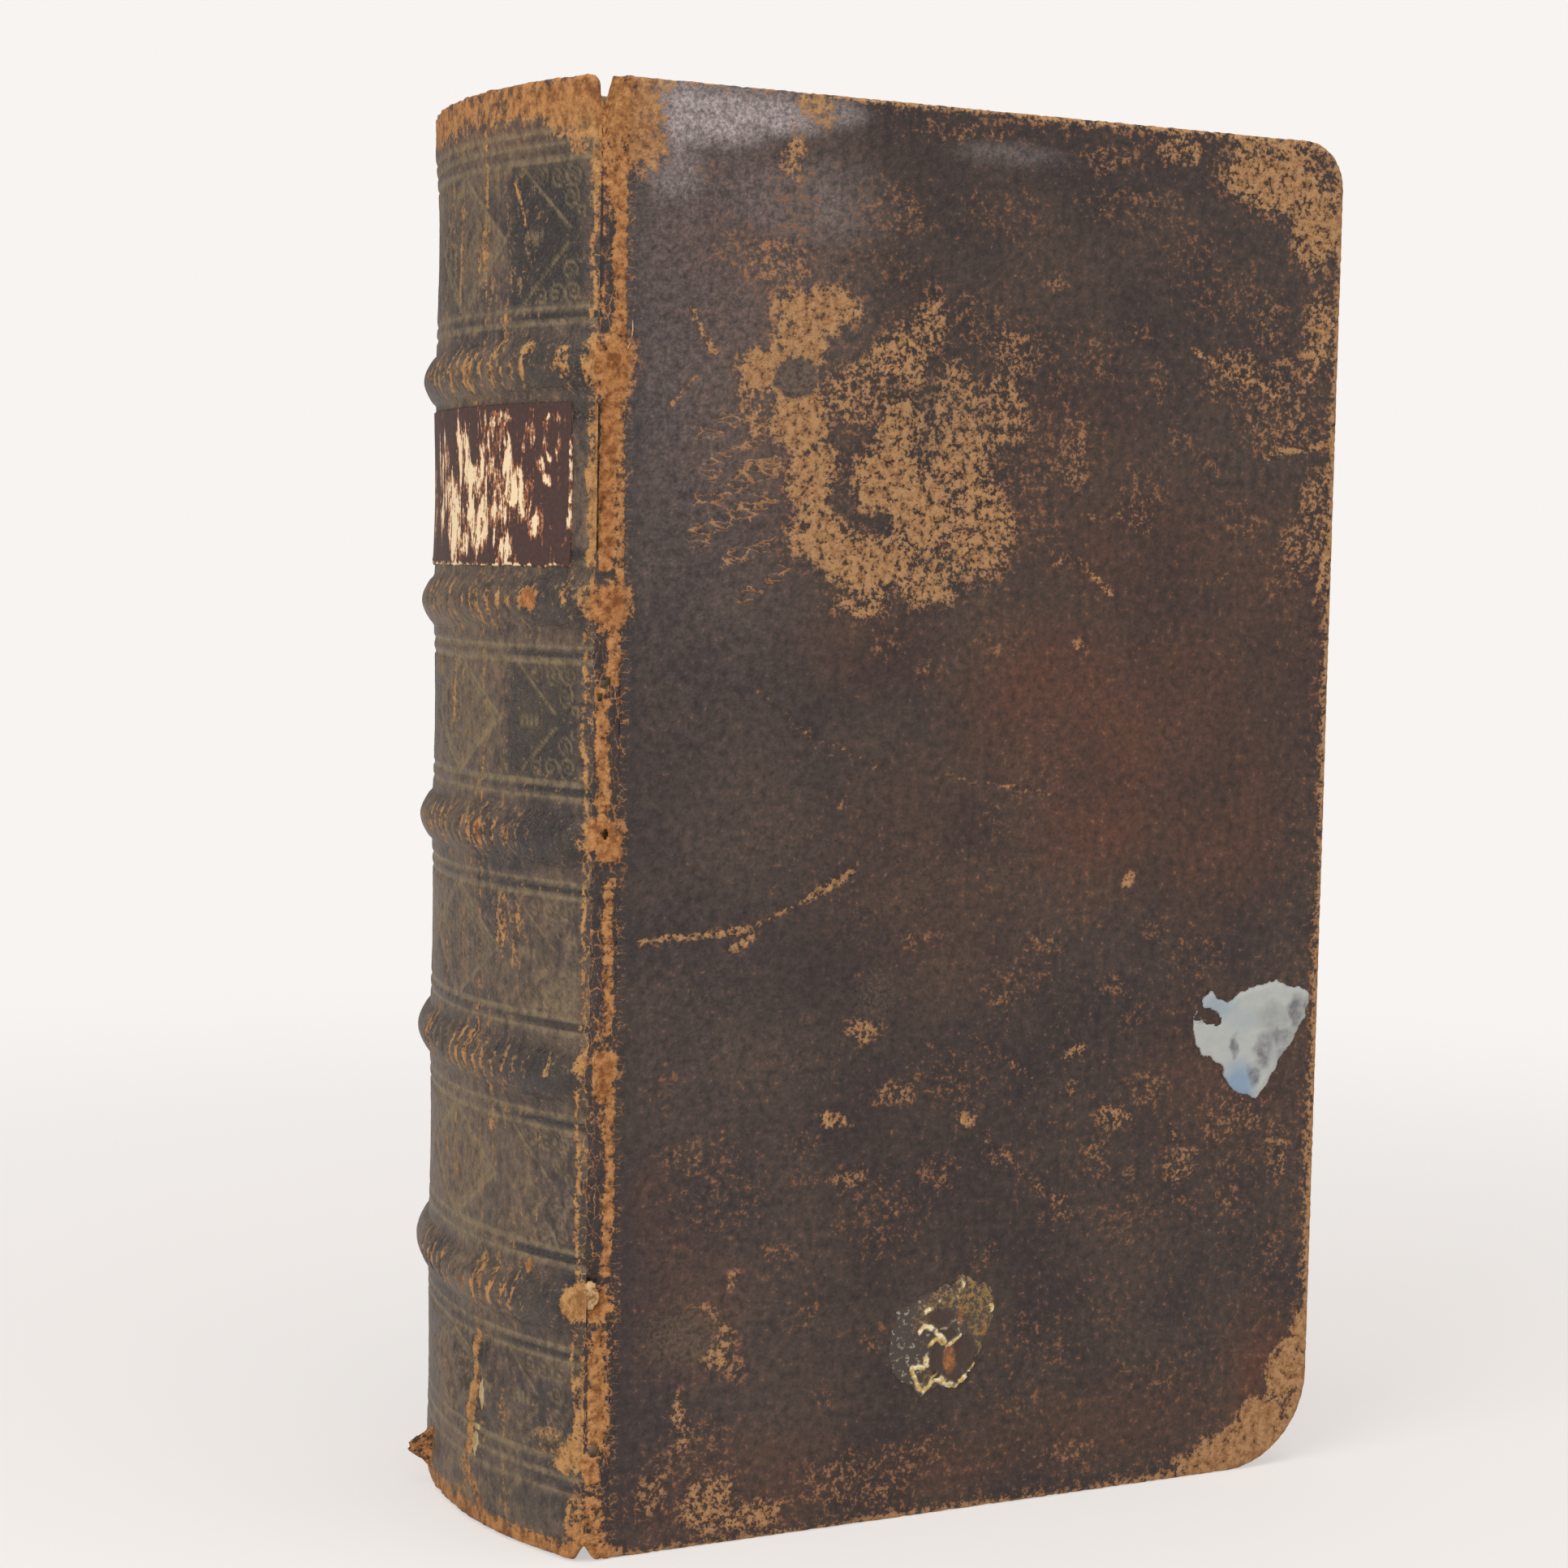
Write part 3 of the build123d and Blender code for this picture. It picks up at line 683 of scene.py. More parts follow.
def cover_leather(side, head_round, tail_round):
    """The leather of one cover: its worn outer face, its edges, and the turn-ins round the board."""
    bm, across, up = grid(185, 318)
    x = COVER_START + across * (FORE_X - COVER_INSET - COVER_START)
    z = COVER_INSET + up * (HEIGHT - 2 * COVER_INSET)
    out_x, out_z = np.zeros_like(x), np.zeros_like(z)
    out_x[across > 0.9999] = 1.0
    out_z[up > 0.9999] = 1.0
    out_z[up < 0.0001] = -1.0
    for corner_round, toward in ((head_round, 1), (tail_round, -1)):
        reach = corner_round - COVER_INSET
        cx = FORE_X - corner_round
        cz = HEIGHT - corner_round if toward > 0 else corner_round
        p, q = (x - cx) / reach, toward * (z - cz) / reach
        inside = (p > 0) & (q > 0)
        span = np.hypot(p, q) + 1e-9
        shrink = np.where(inside, np.maximum(p, q) / span, 1.0)
        x = np.where(inside, cx + (x - cx) * shrink, x)
        z = np.where(inside, cz + (z - cz) * shrink, z)
        border = inside & (np.maximum(p, q) > 0.9999)
        out_x = np.where(border, p / span, out_x)
        out_z = np.where(border, toward * q / span, out_z)
    put(bm, x, np.zeros_like(x), z)

    start = bm.verts.layers.float_vector.new("start")
    outward = bm.verts.layers.float_vector.new("outward")
    for v, ox, oz in zip(bm.verts, out_x, out_z):
        v[start] = v.co
        v[outward] = (ox, 0.0, oz)
    rim = [
        e for e in bm.edges if e.is_boundary and max(e.verts[0].co.x, e.verts[1].co.x) > COVER_START + 0.01
    ]
    for inset, deep in COVER_EDGE:
        corners, rim = extrude_rim(bm, rim)
        for v in corners:
            moved = v[start] + v[outward] * (COVER_INSET - inset)
            v.co = (max(moved.x, COVER_START), deep, moved.z)

    bm.verts.ensure_lookup_table()
    spread = np.array([v.co for v in bm.verts])
    x, deep, z = spread[:, 0], spread[:, 1], spread[:, 2]
    u = x - BOARD_X
    gap = np.maximum(outline_gap(x, z, head_round, tail_round), 0)
    seed = 20.0 if side < 0 else 60.0
    bent_u, bent_z = bend(u, z, 1.8, 7.0, (seed, seed + 5), 3)
    near_u, near_z = bend(u, z, 0.5, 5.0, (seed + 7, seed + 8), 2)
    slow = drift(u, z, 34.0, seed + 2, 3)
    if side < 0:
        worn = np.maximum(spots(bent_u, bent_z, GRAZE), SCUFFED * spots(bent_u, bent_z, SCUFFS))
        worn = np.maximum(worn, strokes(near_u, near_z, SCRATCHES))
        worn = np.maximum(worn, 1.2 * strokes(bent_u, bent_z, BROAD_RUBS))
        veins = 0.75 * strokes(bent_u, bent_z, RIVERS)
        glow = spots(bent_u, bent_z, GLOWS)
        flecked = spots(bent_u, bent_z, FLECKED)
        dull = spots(near_u, near_z, DULLED)
        # polish here holds the painted highlight spots near the head
        polish = spots(near_u, near_z, PAINTED_SHEEN_SPOTS)
        base = 0.07 + 0.08 * smooth(u, 40, 90) + 0.06 * slow + 0.05 * (1 - smooth(z, 60, 110))
    else:
        worn = np.maximum(spots(bent_u, bent_z, BACK_SCUFFS), strokes(near_u, near_z, BACK_SCRATCHES))
        veins = 0 * u
        glow = spots(bent_u, bent_z, BACK_GLOWS)
        flecked = spots(bent_u, bent_z, [(60, 150, 30, 30, 0.4), (90, 90, 26, 26, 0.4)])
        dull = spots(near_u, near_z, [(98, 176, 6, 5, 0.7), (34, 120, 5, 6, 0.6)])
        polish = 0 * u
        base = 0.10 + 0.06 * slow
    rings = np.sin((np.hypot((u - 8) * 0.9, z - 150) + 2.5 * drift(u, z, 9.0, seed + 3, 2)) * 2.1)
    worn = np.maximum(worn, base)
    worn = worn + flecked * (0.13 + 0.12 * rings)
    edge = np.exp(-gap / 1.1) * (0.5 + 0.25 * slow) + 0.12 * np.exp(-gap / 5.0)
    below = (0.75 * (u - 112) - z) * 0.8 + 1.6 * drift(u, z, 5.0, seed + 6, 3)
    corner_rub = smooth(below, -0.6, 1.2)
    mottled = smooth(u + 0.4 * z, 134, 138) * (1 - smooth(4.5 - gap, 2.0, 3.6))
    corner_rub = corner_rub * (1 - 0.42 * mottled)
    worn = np.maximum(worn, 0.66 * corner_rub)
    fore = np.exp(-np.maximum(FORE_X - x, 0) / 1.6) * 0.25
    worn = worn + edge + fore * smooth(u, 60, 120)
    suede, raw = joint_wear(u, z, side)
    worn = np.maximum(worn, suede)
    worn = np.where(dull > 0.45, worn * (1.15 - dull), worn)
    veins = np.maximum(veins, 0.36 * (1 - smooth(u, 1.2, 3.4)))
    edge_dark = np.exp(-((gap - 2.2) / 0.7) ** 2) * (0.3 + 0.3 * slow) * (z > 200)
    black = 0.35 * (1 - smooth(u, 2.0, 5.5)) + 0.3 * edge_dark
    dust = np.maximum(0.55 * flecked * (0.6 + 0.4 * rings), 0.75 * dull)
    # painted sheen: light grey on the strip next to the spine edge, stronger toward the head, and on the
    # painted highlight spots
    painted_sheen = np.maximum(polish, (1 - smooth(u, 16, 48)) * (0.03 + 0.13 * smooth(z, 130, 200)))

    lift = joint_rise(u, z, side)
    lift = lift + 0.14 * drift(u, z, 26.0, seed + 9, 2) + 0.05 * drift(u, z, 3.0, seed + 10, 2)
    lift = lift - 0.10 * smooth(worn, 0.4, 0.7)
    if side < 0:
        lift = lift - 0.30 * strokes(near_u, near_z, [(0, 228, 14, 233, 0.8, 1.0)])
        lift = lift - 0.22 * strokes(
            near_u, near_z, [(16, 187, 34, 196, 1.6, 1.0), (60, 225, 90, 229, 1.4, 0.5)],
        )
        lift = lift - 0.7 * spots(near_u, near_z, [(13, 35.5, 5, 4.5, 1.0)])
        lift = lift - 0.22 * strokes(near_u, near_z, SCRATCHES)
        lift = lift - 0.6 * spots(u, z, [(-0.9, 17, 0.5, 0.5, 1.0)])
    lift = lift * np.exp(-deep / 0.3)
    burr = np.where((deep > 0) & (deep < 3.5), 0.16 * drift(x * 2, z * 2 + deep, 1.6, seed + 12, 2), 0.0)
    for v, rise, rough in zip(bm.verts, lift, burr):
        push = v[outward] * rough
        v.co = (v.co.x + push.x, side * (HALF - v.co.y + rise), v.co.z + push.z)
    for v in bm.verts:
        v.co.z = max(v.co.z, 0.0)
    name = "front_cover_calf" if side < 0 else "back_cover_calf"
    body = "front_cover" if side < 0 else "back_cover"
    made = piece(
        name, bm, cover_calf, body,
        {"wear": (worn, glow, veins, raw), "tone": (painted_sheen, black, 0 * u, dust)},
    )
    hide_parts("front_leather" if side < 0 else "back_leather")


cover_leather(-1, 8.0, 17.0)
cover_leather(1, 9.0, 16.0)


def depth_inside(u, z, corners):
    """How far inside a closed outline each point lies, in millimetres, and negative outside it."""
    nearest = np.full(u.shape, 1e6)
    within = np.zeros(u.shape, bool)
    for (u0, z0), (u1, z1) in zip(corners, corners[1:] + corners[:1]):
        du, dz = u1 - u0, z1 - z0
        along = np.clip(((u - u0) * du + (z - z0) * dz) / (du * du + dz * dz), 0, 1)
        nearest = np.minimum(nearest, np.hypot(u - u0 - along * du, z - z0 - along * dz))
        crosses = (z0 > z) != (z1 > z)
        within = within ^ (crosses & (u < u0 + (z - z0) / (dz + 1e-9) * du))
    return np.where(within, nearest, -nearest)


def spill(name, outline, ragged, relief, material, kinds, holes=()):
    """A patch of something dried on the front cover, inside an outline; relief gives its height."""
    corners = np.array(outline)
    low, high = corners.min(axis=0) - 1, corners.max(axis=0) + 1
    cell = 0.2
    bm, across, up = grid(int((high[0] - low[0]) / cell), int((high[1] - low[1]) / cell))
    u = low[0] + across * (high[0] - low[0])
    z = low[1] + up * (high[1] - low[1])
    bent_u, bent_z = bend(u, z, ragged, 2.2, (111.0, 113.0), 4)
    depth = depth_inside(bent_u, bent_z, outline)
    depth = np.where(spots(bent_u, bent_z, holes) > 0.5, -1.0, depth) if holes else depth
    thick = relief(u, z, depth)
    put(bm, BOARD_X + u, -(HALF + thick), z)
    index = bm.verts.layers.int.new("index")
    for k, v in enumerate(bm.verts):
        v[index] = k
    gone = [v for v, d in zip(bm.verts, depth) if d < 0]
    bmesh.ops.delete(bm, geom=gone, context="VERTS")
    loose = [v for v in bm.verts if not v.link_faces]
    bmesh.ops.delete(bm, geom=loose, context="VERTS")
    for v in extrude_rim(bm, open_edges(bm))[0]:
        v.co.y = -(HALF - 0.25)
    bm.verts.ensure_lookup_table()
    order = np.array([v[index] for v in bm.verts])
    channels = [np.asarray(c)[order] for c in kinds(u, z, depth)]
    piece(name, bm, material, "front_cover", {"wear": channels})


PAINT = [
    (112, 82), (112, 84.5), (113.5, 85.5), (114, 87.5), (116, 88.5), (118, 87.2), (119.5, 86.6), (122, 88),
    (126, 89.4), (130, 90), (132, 89), (134, 88.4), (135.2, 89), (137.5, 87), (137, 84.5), (136, 81.5),
    (133.5, 78), (131, 75), (129.5, 72.5), (128, 70), (126, 68.4), (123.5, 69), (121, 70.4), (119, 72.5),
    (118.6, 75), (115.8, 76.4), (114, 77), (113, 79),
]


def paint_relief(u, z, depth):
    """Height of the paint over the leather."""
    return 0.06 + 0.2 * smooth(depth, 0, 1.2) + 0.05 * drift(u, z, 3.0, 117.0, 3)


def paint_kinds(u, z, depth):
    """Thin grey smears, blue, and the leather that shows through at the rim."""
    bent_u, bent_z = bend(u, z, 1.1, 2.6, (118.0, 119.0), 4)
    smears = 0.85 * spots(
        bent_u, bent_z,
        [
            (134.6, 83.6, 1.9, 3.2, 1.0), (136.4, 85.4, 1.0, 1.6, 1.0), (130.6, 79.6, 3.4, 2.0, 0.9),
            (127.6, 76.8, 2.2, 2.6, 1.0), (125.6, 72.8, 1.3, 2.0, 1.0), (121.0, 78.4, 0.9, 2.0, 1.0),
            (129.4, 83.4, 3.6, 2.4, 0.5), (114.4, 84.4, 2.4, 1.6, 0.7), (131.6, 76.6, 1.6, 1.2, 0.6),
        ],
    )
    blue = spots(
        u, z, [(122.2, 71.0, 3.6, 4.4, 0.8), (117.4, 85.8, 4.0, 2.6, 0.42), (122.6, 83.0, 3.0, 2.0, 0.2)],
    )
    leather = 0.8 * (1 - smooth(depth, 0, 0.35))
    return smears, blue, leather, 0 * u


spill(
    "paint_dab", PAINT, 0.5, paint_relief, oil_paint, paint_kinds,
    holes=[
        (115.9, 83.8, 2.0, 1.3, 1.0), (114.6, 84.8, 1.5, 0.9, 1.0), (113.2, 84.0, 0.9, 0.7, 1.0),
        (117.2, 83.0, 1.2, 0.8, 0.9), (113.4, 86.0, 0.8, 0.9, 1.0),
    ],
)

CRUST = [
    (54, 36.5), (57, 38), (60, 39.5), (64, 40), (66, 41.8), (68, 40.5), (70.5, 40), (72.4, 37), (72.4, 34),
    (71.4, 31), (69.6, 27.5), (68.6, 25.2), (66.6, 22.8), (64.4, 21.4), (61.6, 22.4), (58.6, 20.8),
    (56.4, 22.4), (54, 23.6), (52.4, 27), (52, 31), (52.4, 34),
]
CREAM = [
    (56.4, 26.0, 57.0, 23.4, 0.55, 1.0), (57.0, 23.4, 58.6, 21.8, 0.6, 1.0),
    (58.6, 21.8, 60.2, 23.3, 0.55, 1.0), (60.2, 23.3, 62.0, 23.7, 0.5, 1.0),
    (62.0, 23.7, 63.8, 22.5, 0.65, 1.0), (63.8, 22.5, 65.4, 22.2, 0.55, 1.0),
    (65.4, 22.2, 67.0, 23.6, 0.5, 1.0), (67.0, 23.6, 68.4, 25.8, 0.4, 0.8),
    (68.4, 25.8, 70.2, 29.2, 0.3, 0.5), (56.6, 26.2, 58.4, 26.0, 0.55, 0.9),
    (59.0, 27.6, 59.2, 26.4, 0.5, 1.0), (58.6, 33.2, 60.8, 32.4, 0.5, 1.0),
    (57.6, 32.2, 58.6, 33.2, 0.4, 0.8), (60.8, 32.4, 61.4, 30.9, 0.35, 0.8),
    (61.6, 31.4, 62.6, 30.2, 0.45, 1.0), (63.4, 29.6, 65.6, 31.2, 0.4, 1.0),
    (59.4, 29.4, 61.0, 31.0, 0.4, 0.7), (61.0, 31.0, 62.8, 29.2, 0.35, 0.7),
    (66.2, 41.0, 65.4, 37.6, 0.45, 0.6), (58.6, 35.6, 60.0, 36.2, 0.4, 0.7),
    (60.6, 37.4, 61.2, 37.4, 0.7, 0.6), (71.8, 35.8, 72.1, 34.9, 0.4, 0.9),
    (62.0, 32.6, 64.0, 33.0, 0.3, 0.5), (65.2, 33.2, 65.4, 31.4, 0.35, 0.5),
    (63.0, 39.8, 64.4, 40.2, 0.35, 0.6), (61.0, 25.0, 60.2, 24.0, 0.3, 0.6),
]
BEADS = [
    (61.2, 27.4, 1.7, 3.8, 1.0), (66.6, 28.2, 2.8, 3.6, 1.0), (64.2, 24.2, 2.4, 1.5, 1.0),
    (63.2, 32.0, 1.8, 1.2, 1.0), (62.0, 34.6, 3.2, 1.8, 0.8), (57.8, 31.4, 2.2, 2.0, 0.5),
    (58.0, 24.4, 1.0, 1.4, 0.6), (67.4, 33.8, 2.0, 2.2, 0.5),
]


def crust_relief(u, z, depth):
    """Height of the dried spill: low crust, round beads and a standing cream rim."""
    beads = spots(u, z, BEADS)
    rims = strokes(u + 0.25 * drift(u, z, 1.6, 121.0, 2), z, CREAM)
    sharp = 0.10 * drift(u, z, 0.9, 125.0, 3) * smooth(depth, 0.2, 1.5)
    return 0.03 + 0.14 * smooth(depth, 0, 2.5) + 0.25 * beads + 0.40 * rims + sharp


def crust_kinds(u, z, depth):
    """Cream rim, dark beads, orange beads and gold crust."""
    bent_u, bent_z = bend(u, z, 0.35, 1.6, (121.0, 123.0), 3)
    uneven = 0.9 + 0.9 * drift(u, z, 1.3, 129.0, 3)
    rims = smooth(strokes(bent_u, bent_z, CREAM) * uneven, 0.3, 0.75)
    beads = smooth(spots(bent_u, bent_z, BEADS), 0.3, 0.7)
    orange = smooth(
        spots(
            bent_u, bent_z,
            [(63.6, 27.2, 1.4, 3.0, 1.0), (65.6, 34.6, 0.8, 3.0, 0.6), (70.4, 31.4, 1.2, 2.4, 0.6)],
        ),
        0.3, 0.8,
    )
    gold = spots(
        bent_u, bent_z,
        [
            (68.6, 37.4, 4.6, 4.6, 1.0), (69.8, 32.0, 2.6, 5.0, 0.9), (62.0, 37.4, 4.0, 2.6, 0.8),
            (58.0, 34.0, 1.6, 2.0, 0.7), (60.4, 24.4, 2.4, 2.0, 0.7),
        ],
    )
    return rims, beads, orange, gold


spill("dried_spill", CRUST, 0.8, crust_relief, crust, crust_kinds)

# ---------------------------------------------------------------- spine


def spine_place(v, lift):
    """Where a point of the spine lies, from its girth v off the crown and its lift off the leather."""
    a = np.abs(v)
    side = np.where(v < 0, -1.0, 1.0)
    turn = np.minimum(a, ARC_HALF) / ARC_R
    x_arc = ARC_X - (ARC_R + lift) * np.cos(turn)
    y_arc = (ARC_R + lift) * np.sin(turn)
    bend = ARC_TURN + np.clip(a - ARC_HALF, 0, ROUND_LENGTH) / ROUND_R
    x_round = ROUND_X - (ROUND_R + lift) * np.cos(bend)
    y_round = HALF - ROUND_R + (ROUND_R + lift) * np.sin(bend)
    flat = a - ARC_HALF - ROUND_LENGTH
    x = np.where(a <= ARC_HALF, x_arc, np.where(flat <= 0, x_round, ROUND_X + flat))
    y = np.where(a <= ARC_HALF, y_arc, np.where(flat <= 0, y_round, HALF + lift))
    return x, side * y


def notch(v, z):
    """How far the leather has torn down at the head and up at the tail beside the front joint."""
    head = 5.2 * np.clip(1 - np.abs(v + 38.4) / 1.5, 0, 1) * smooth(z, 222, HEIGHT)
    tail = 2.6 * np.clip(1 - np.abs(v + 38.2) / 1.8, 0, 1) * (1 - smooth(z, 0, 14))
    return tail - head


# heights of the tooled lines; none lie under the label
FILLETS = [231.6, 229.5, 227.2, 16.4, 13.7, 11.0]
for band in BANDS:
    for offset in (6.9, 9.2):
        FILLETS += [band + offset, band - offset]
FILLETS = [f for f in FILLETS if not 160.5 < f < 189.5]
PANELS = [(203.7, 226.6), (127.6, 147.0), (89.4, 108.9), (51.3, 70.8), (17.2, 32.7)]


def scroll(a, b, size, way):
    """A curl of thin line about (0, 0), like the end of a vine, turning one way or the other."""
    far = np.hypot(a, b)
    turn = np.arctan2(b, way * a) / (2 * math.pi)
    pitch = 1.15
    off = np.abs((far / pitch - turn) % 1.0 - 0.5) * pitch
    return np.clip(1.35 - (0.5 * pitch - off) / 0.26, 0, 1) * (far < size + 0.3)


def tooling(v, z):
    """Depth of the blind tooling, 0 to 1: fillets, a lozenge, corner scrolls and small dashes."""
    deep = np.zeros_like(v)
    shake = 0.25 * drift(v * 0.3, z * 0.1, 9.0, 71.0, 2)
    for line in FILLETS:
        deep = np.maximum(deep, np.clip(1.5 - np.abs(z + shake - line) / 0.42, 0, 1))
    side_v = np.abs(v)
    for foot, head in PANELS:
        middle, half = (foot + head) / 2, (head - foot) / 2
        w = z - middle
        inside = (np.abs(w) < half) & (side_v < 36)
        marks = np.zeros_like(v)
        lozenge = side_v / 15.0 + np.abs(w) / (half * 1.02)
        for size, weight in ((1.0, 1.0), (0.88, 0.6)):
            marks = np.maximum(marks, weight * np.clip(1.6 - np.abs(lozenge - size) / 0.045, 0, 1))
        # leafy scrolls in the lozenge
        for cv, cw, r, way in (
            (0, 4.4, 2.0, 1), (0, -4.4, 2.0, -1), (4.6, 1.6, 2.4, 1), (-4.6, 1.6, 2.4, -1),
            (4.6, -2.2, 2.2, -1), (-4.6, -2.2, 2.2, 1), (0, 0, 1.5, 1), (9, 0, 1.7, -1), (-9, 0, 1.7, 1),
        ):
            marks = np.maximum(marks, 0.75 * scroll(v - cv, w - cw, r, way))
        # corner pieces: a triangle with its scrolls
        for up in (-1, 1):
            h = half - up * w
            slope = side_v - (20.0 + h * 1.15)
            triangle = (h > 0.4) & (h < half - 0.6) & (slope > 0) & (side_v < 35.4)
            rim = np.clip(1.5 - np.abs(slope) / 0.4, 0, 1) * ((h > 0.2) & (h < half - 1))
            marks = np.maximum(marks, rim)
            for cv, ch, r, way in (
                (25.4, 1.7, 1.3, 1), (29.0, 2.2, 1.7, -1), (33.0, 2.2, 1.7, 1), (32.0, 5.6, 1.6, -1),
                (34.2, 8.0, 1.0, 1),
            ):
                marks = np.maximum(marks, 0.9 * scroll(side_v - cv, h - ch, r, way) * triangle)
        # three short dashes at each side, half way up
        for k in range(4):
            dash = np.maximum(np.abs(side_v - 21.4 - 1.25 * k) / 0.4, np.abs(w) / 0.9)
            marks = np.maximum(marks, 0.9 * np.clip(1.5 - dash, 0, 1))
        # a row of fine ticks under the upper fillet
        ticks = (np.abs(w - half + 0.5) < 0.7) & (side_v > 8) & (side_v < 17)
        marks = np.maximum(marks, 0.5 * ticks * (np.sin(v * 2 * math.pi / 0.95) > 0))
        deep = np.maximum(deep, marks * inside)
    return deep


def spine_lift(v, z):
    """Height of the spine's leather over the plain round, without its fine relief."""
    side_v = np.abs(v)
    lift = np.zeros_like(v)
    fade = 1 - 0.75 * smooth(side_v, 34.0, 38.0)
    for k, band in enumerate(BANDS):
        sway = 0.35 * np.sin(v * 0.07 + k)
        t = np.clip(np.abs(z - band - sway) / (BAND_WIDTH / 2), 0, 1)
        round_top = np.sqrt(np.clip(1 - (t / 0.86) ** 2, 0, 1))
        foot = 0.5 + 0.5 * np.cos(math.pi * t)
        lift = lift + BAND_RISE * fade * (0.55 * round_top + 0.45 * foot)
    # the panels sink a little between the bands, and the skin flares at head and tail
    stops = [0.0] + BANDS + [HEIGHT]
    for low, high in zip(stops[:-1], stops[1:]):
        t = np.clip((z - low) / (high - low), 0, 1)
        lift = lift - 0.35 * np.sin(math.pi * t) ** 2 * (1 - smooth(side_v, 30, 38))
    lift = lift + 0.5 * smooth(z, 222, 236) * (1 - smooth(side_v, 30, 37))
    return lift


SPINE_EDGE = 38.0  # the spine's leather reaches this far round from the crown
SPINE_INSET = 0.9  # its flat face stops this far from head and tail
# the turned-in ends: (height beyond the flat face's end, how far in)
HEADCAP = [(0.45, 0.15), (0.7, 0.6), (0.62, 1.3), (0.4, 2.2), (0.1, 3.0), (-1.2, 3.2)]


def spine_calf_piece():
    """The spine's leather from shoulder to shoulder, bands and headcaps included."""
    bm, across, up = grid(158, 470)
    v = (across * 2 - 1) * SPINE_EDGE
    z = SPINE_INSET + up * (HEIGHT - 2 * SPINE_INSET)
    put(bm, v, 0 * v, z)
    spot = bm.verts.layers.float_vector.new("spot")
    for vert in bm.verts:
        vert[spot] = (vert.co.x, 0.0, vert.co.z)
    for end_z, toward in ((HEIGHT - SPINE_INSET, 1), (SPINE_INSET, -1)):
        rim = [e for e in open_edges(bm) if all(abs(w.co.z - end_z) < 0.01 for w in e.verts)]
        for rise, inset in HEADCAP:
            corners, rim = extrude_rim(bm, rim)
            for w in corners:
                w.co.z = end_z + toward * rise
                w[spot] = (w.co.x, inset, w.co.z)
    bm.verts.ensure_lookup_table()
    kept = np.array([w[spot] for w in bm.verts])
    v, inset, z = kept[:, 0], kept[:, 1], kept[:, 2]
    side_v = np.abs(v)

    tool = tooling(v, z) * (z > 9.5) * (z < 233)
    slow = drift(v, z, 18.0, 31.0, 3)
    upright = drift(v * 2.4, z * 0.32, 6.0, 33.0, 4)
    fine = drift(v, z, 2.2, 35.0, 3)
    # worn: most on the bands, the headcaps, and in upright streaks near the crown
    on_band = np.zeros_like(v)
    black = np.zeros_like(v)
    for k, band in enumerate(BANDS):
        crest = np.clip(1 - np.abs(z - band) / 5.2, 0, 1)
        on_band = np.maximum(on_band, crest)
        black = np.maximum(
            black,
            np.clip(1.5 - np.abs(z - band) / 4.2, 0, 1) * smooth(-v, 19, 26) * (1 - smooth(-v, 36, 38)),
        )
    arcs = np.sin(v * 2.1 + 2.2 * drift(v, z, 5.0, 37.0, 2) + 0.9 * np.abs(drift(v * 0, z, 3.0, 39.0, 1)))
    crown = 1 - smooth(np.abs(v + 4), 14, 26)
    worn = 0.12 + 0.10 * slow + 0.12 * crown + 0.42 * np.clip(upright, 0, 1) * (0.3 + 0.7 * crown)
    worn = worn + on_band * (0.10 + 0.30 * arcs) * (0.25 + 0.75 * crown)
    worn = worn + 0.10 * on_band * smooth(v, 4, 20)
    # upright cracks
    sway = 0.9 * drift(v * 0, z, 14.0, 41.0, 3)
    cracks = [
        (-9.4, 236, -9.0, 196, 0.5, 0.6), (-9.0, 196, -10.0, 150, 0.4, 0.5),
        (-10.0, 150, -9.2, 96, 0.45, 0.56), (-9.2, 96, -11.0, 40, 0.4, 0.46),
        (3.0, 234, 2.0, 200, 0.7, 0.5), (2.0, 150, 1.0, 126, 0.6, 0.46),
        (-17.5, 150, -17.0, 120, 0.3, 0.42), (-25.6, 190, -26.4, 120, 0.28, 0.4),
        (-27, 112, -27, 88, 0.28, 0.42), (-28, 78, -26.6, 52, 0.32, 0.5), (-18, 224, -22, 214, 0.5, 0.56),
        (-22, 214, -28, 219, 0.4, 0.5), (-15, 221, -18, 206, 0.35, 0.46), (-20, 209, -25, 213, 0.4, 0.5),
        (11, 230, 10, 190, 0.5, 0.46),
    ]
    worn = np.maximum(worn, strokes(v + sway, z, cracks))
    worn = np.maximum(
        worn,
        strokes(
            v + 0.4 * sway, z,
            [(-11, 33, -6, 10, 1.0, 0.8), (-6, 10, -12, 4, 1.2, 0.7), (-13, 26, -12, 12, 0.5, 0.5)],
        ),
    )
    # spots rubbed bare on the bands
    bent_v, bent_z = v + 0.5 * fine, z + 0.5 * drift(v, z, 2.2, 36.0, 3)
    rubs = [
        (-25.4, BANDS[3] + 0.8, 2.6, 2.3, 1.0), (-12.0, BANDS[2] + 0.2, 1.4, 3.0, 0.8),
        (-25.6, BANDS[0] + 5.4, 1.1, 1.6, 0.8), (-13.4, BANDS[0] + 2.4, 0.9, 3.4, 0.66),
        (-6.4, BANDS[4], 1.2, 4.0, 0.5), (-24, BANDS[4] + 2.6, 2.2, 1.8, 0.6),
        (-32.4, BANDS[4] + 0.4, 2.4, 4.4, 0.55), (-33.6, BANDS[3] + 2.2, 1.2, 3.0, 0.6),
        (-31, BANDS[1] + 1, 1, 2.6, 0.5),
    ]
    worn = np.maximum(worn, spots(bent_v, bent_z, rubs))
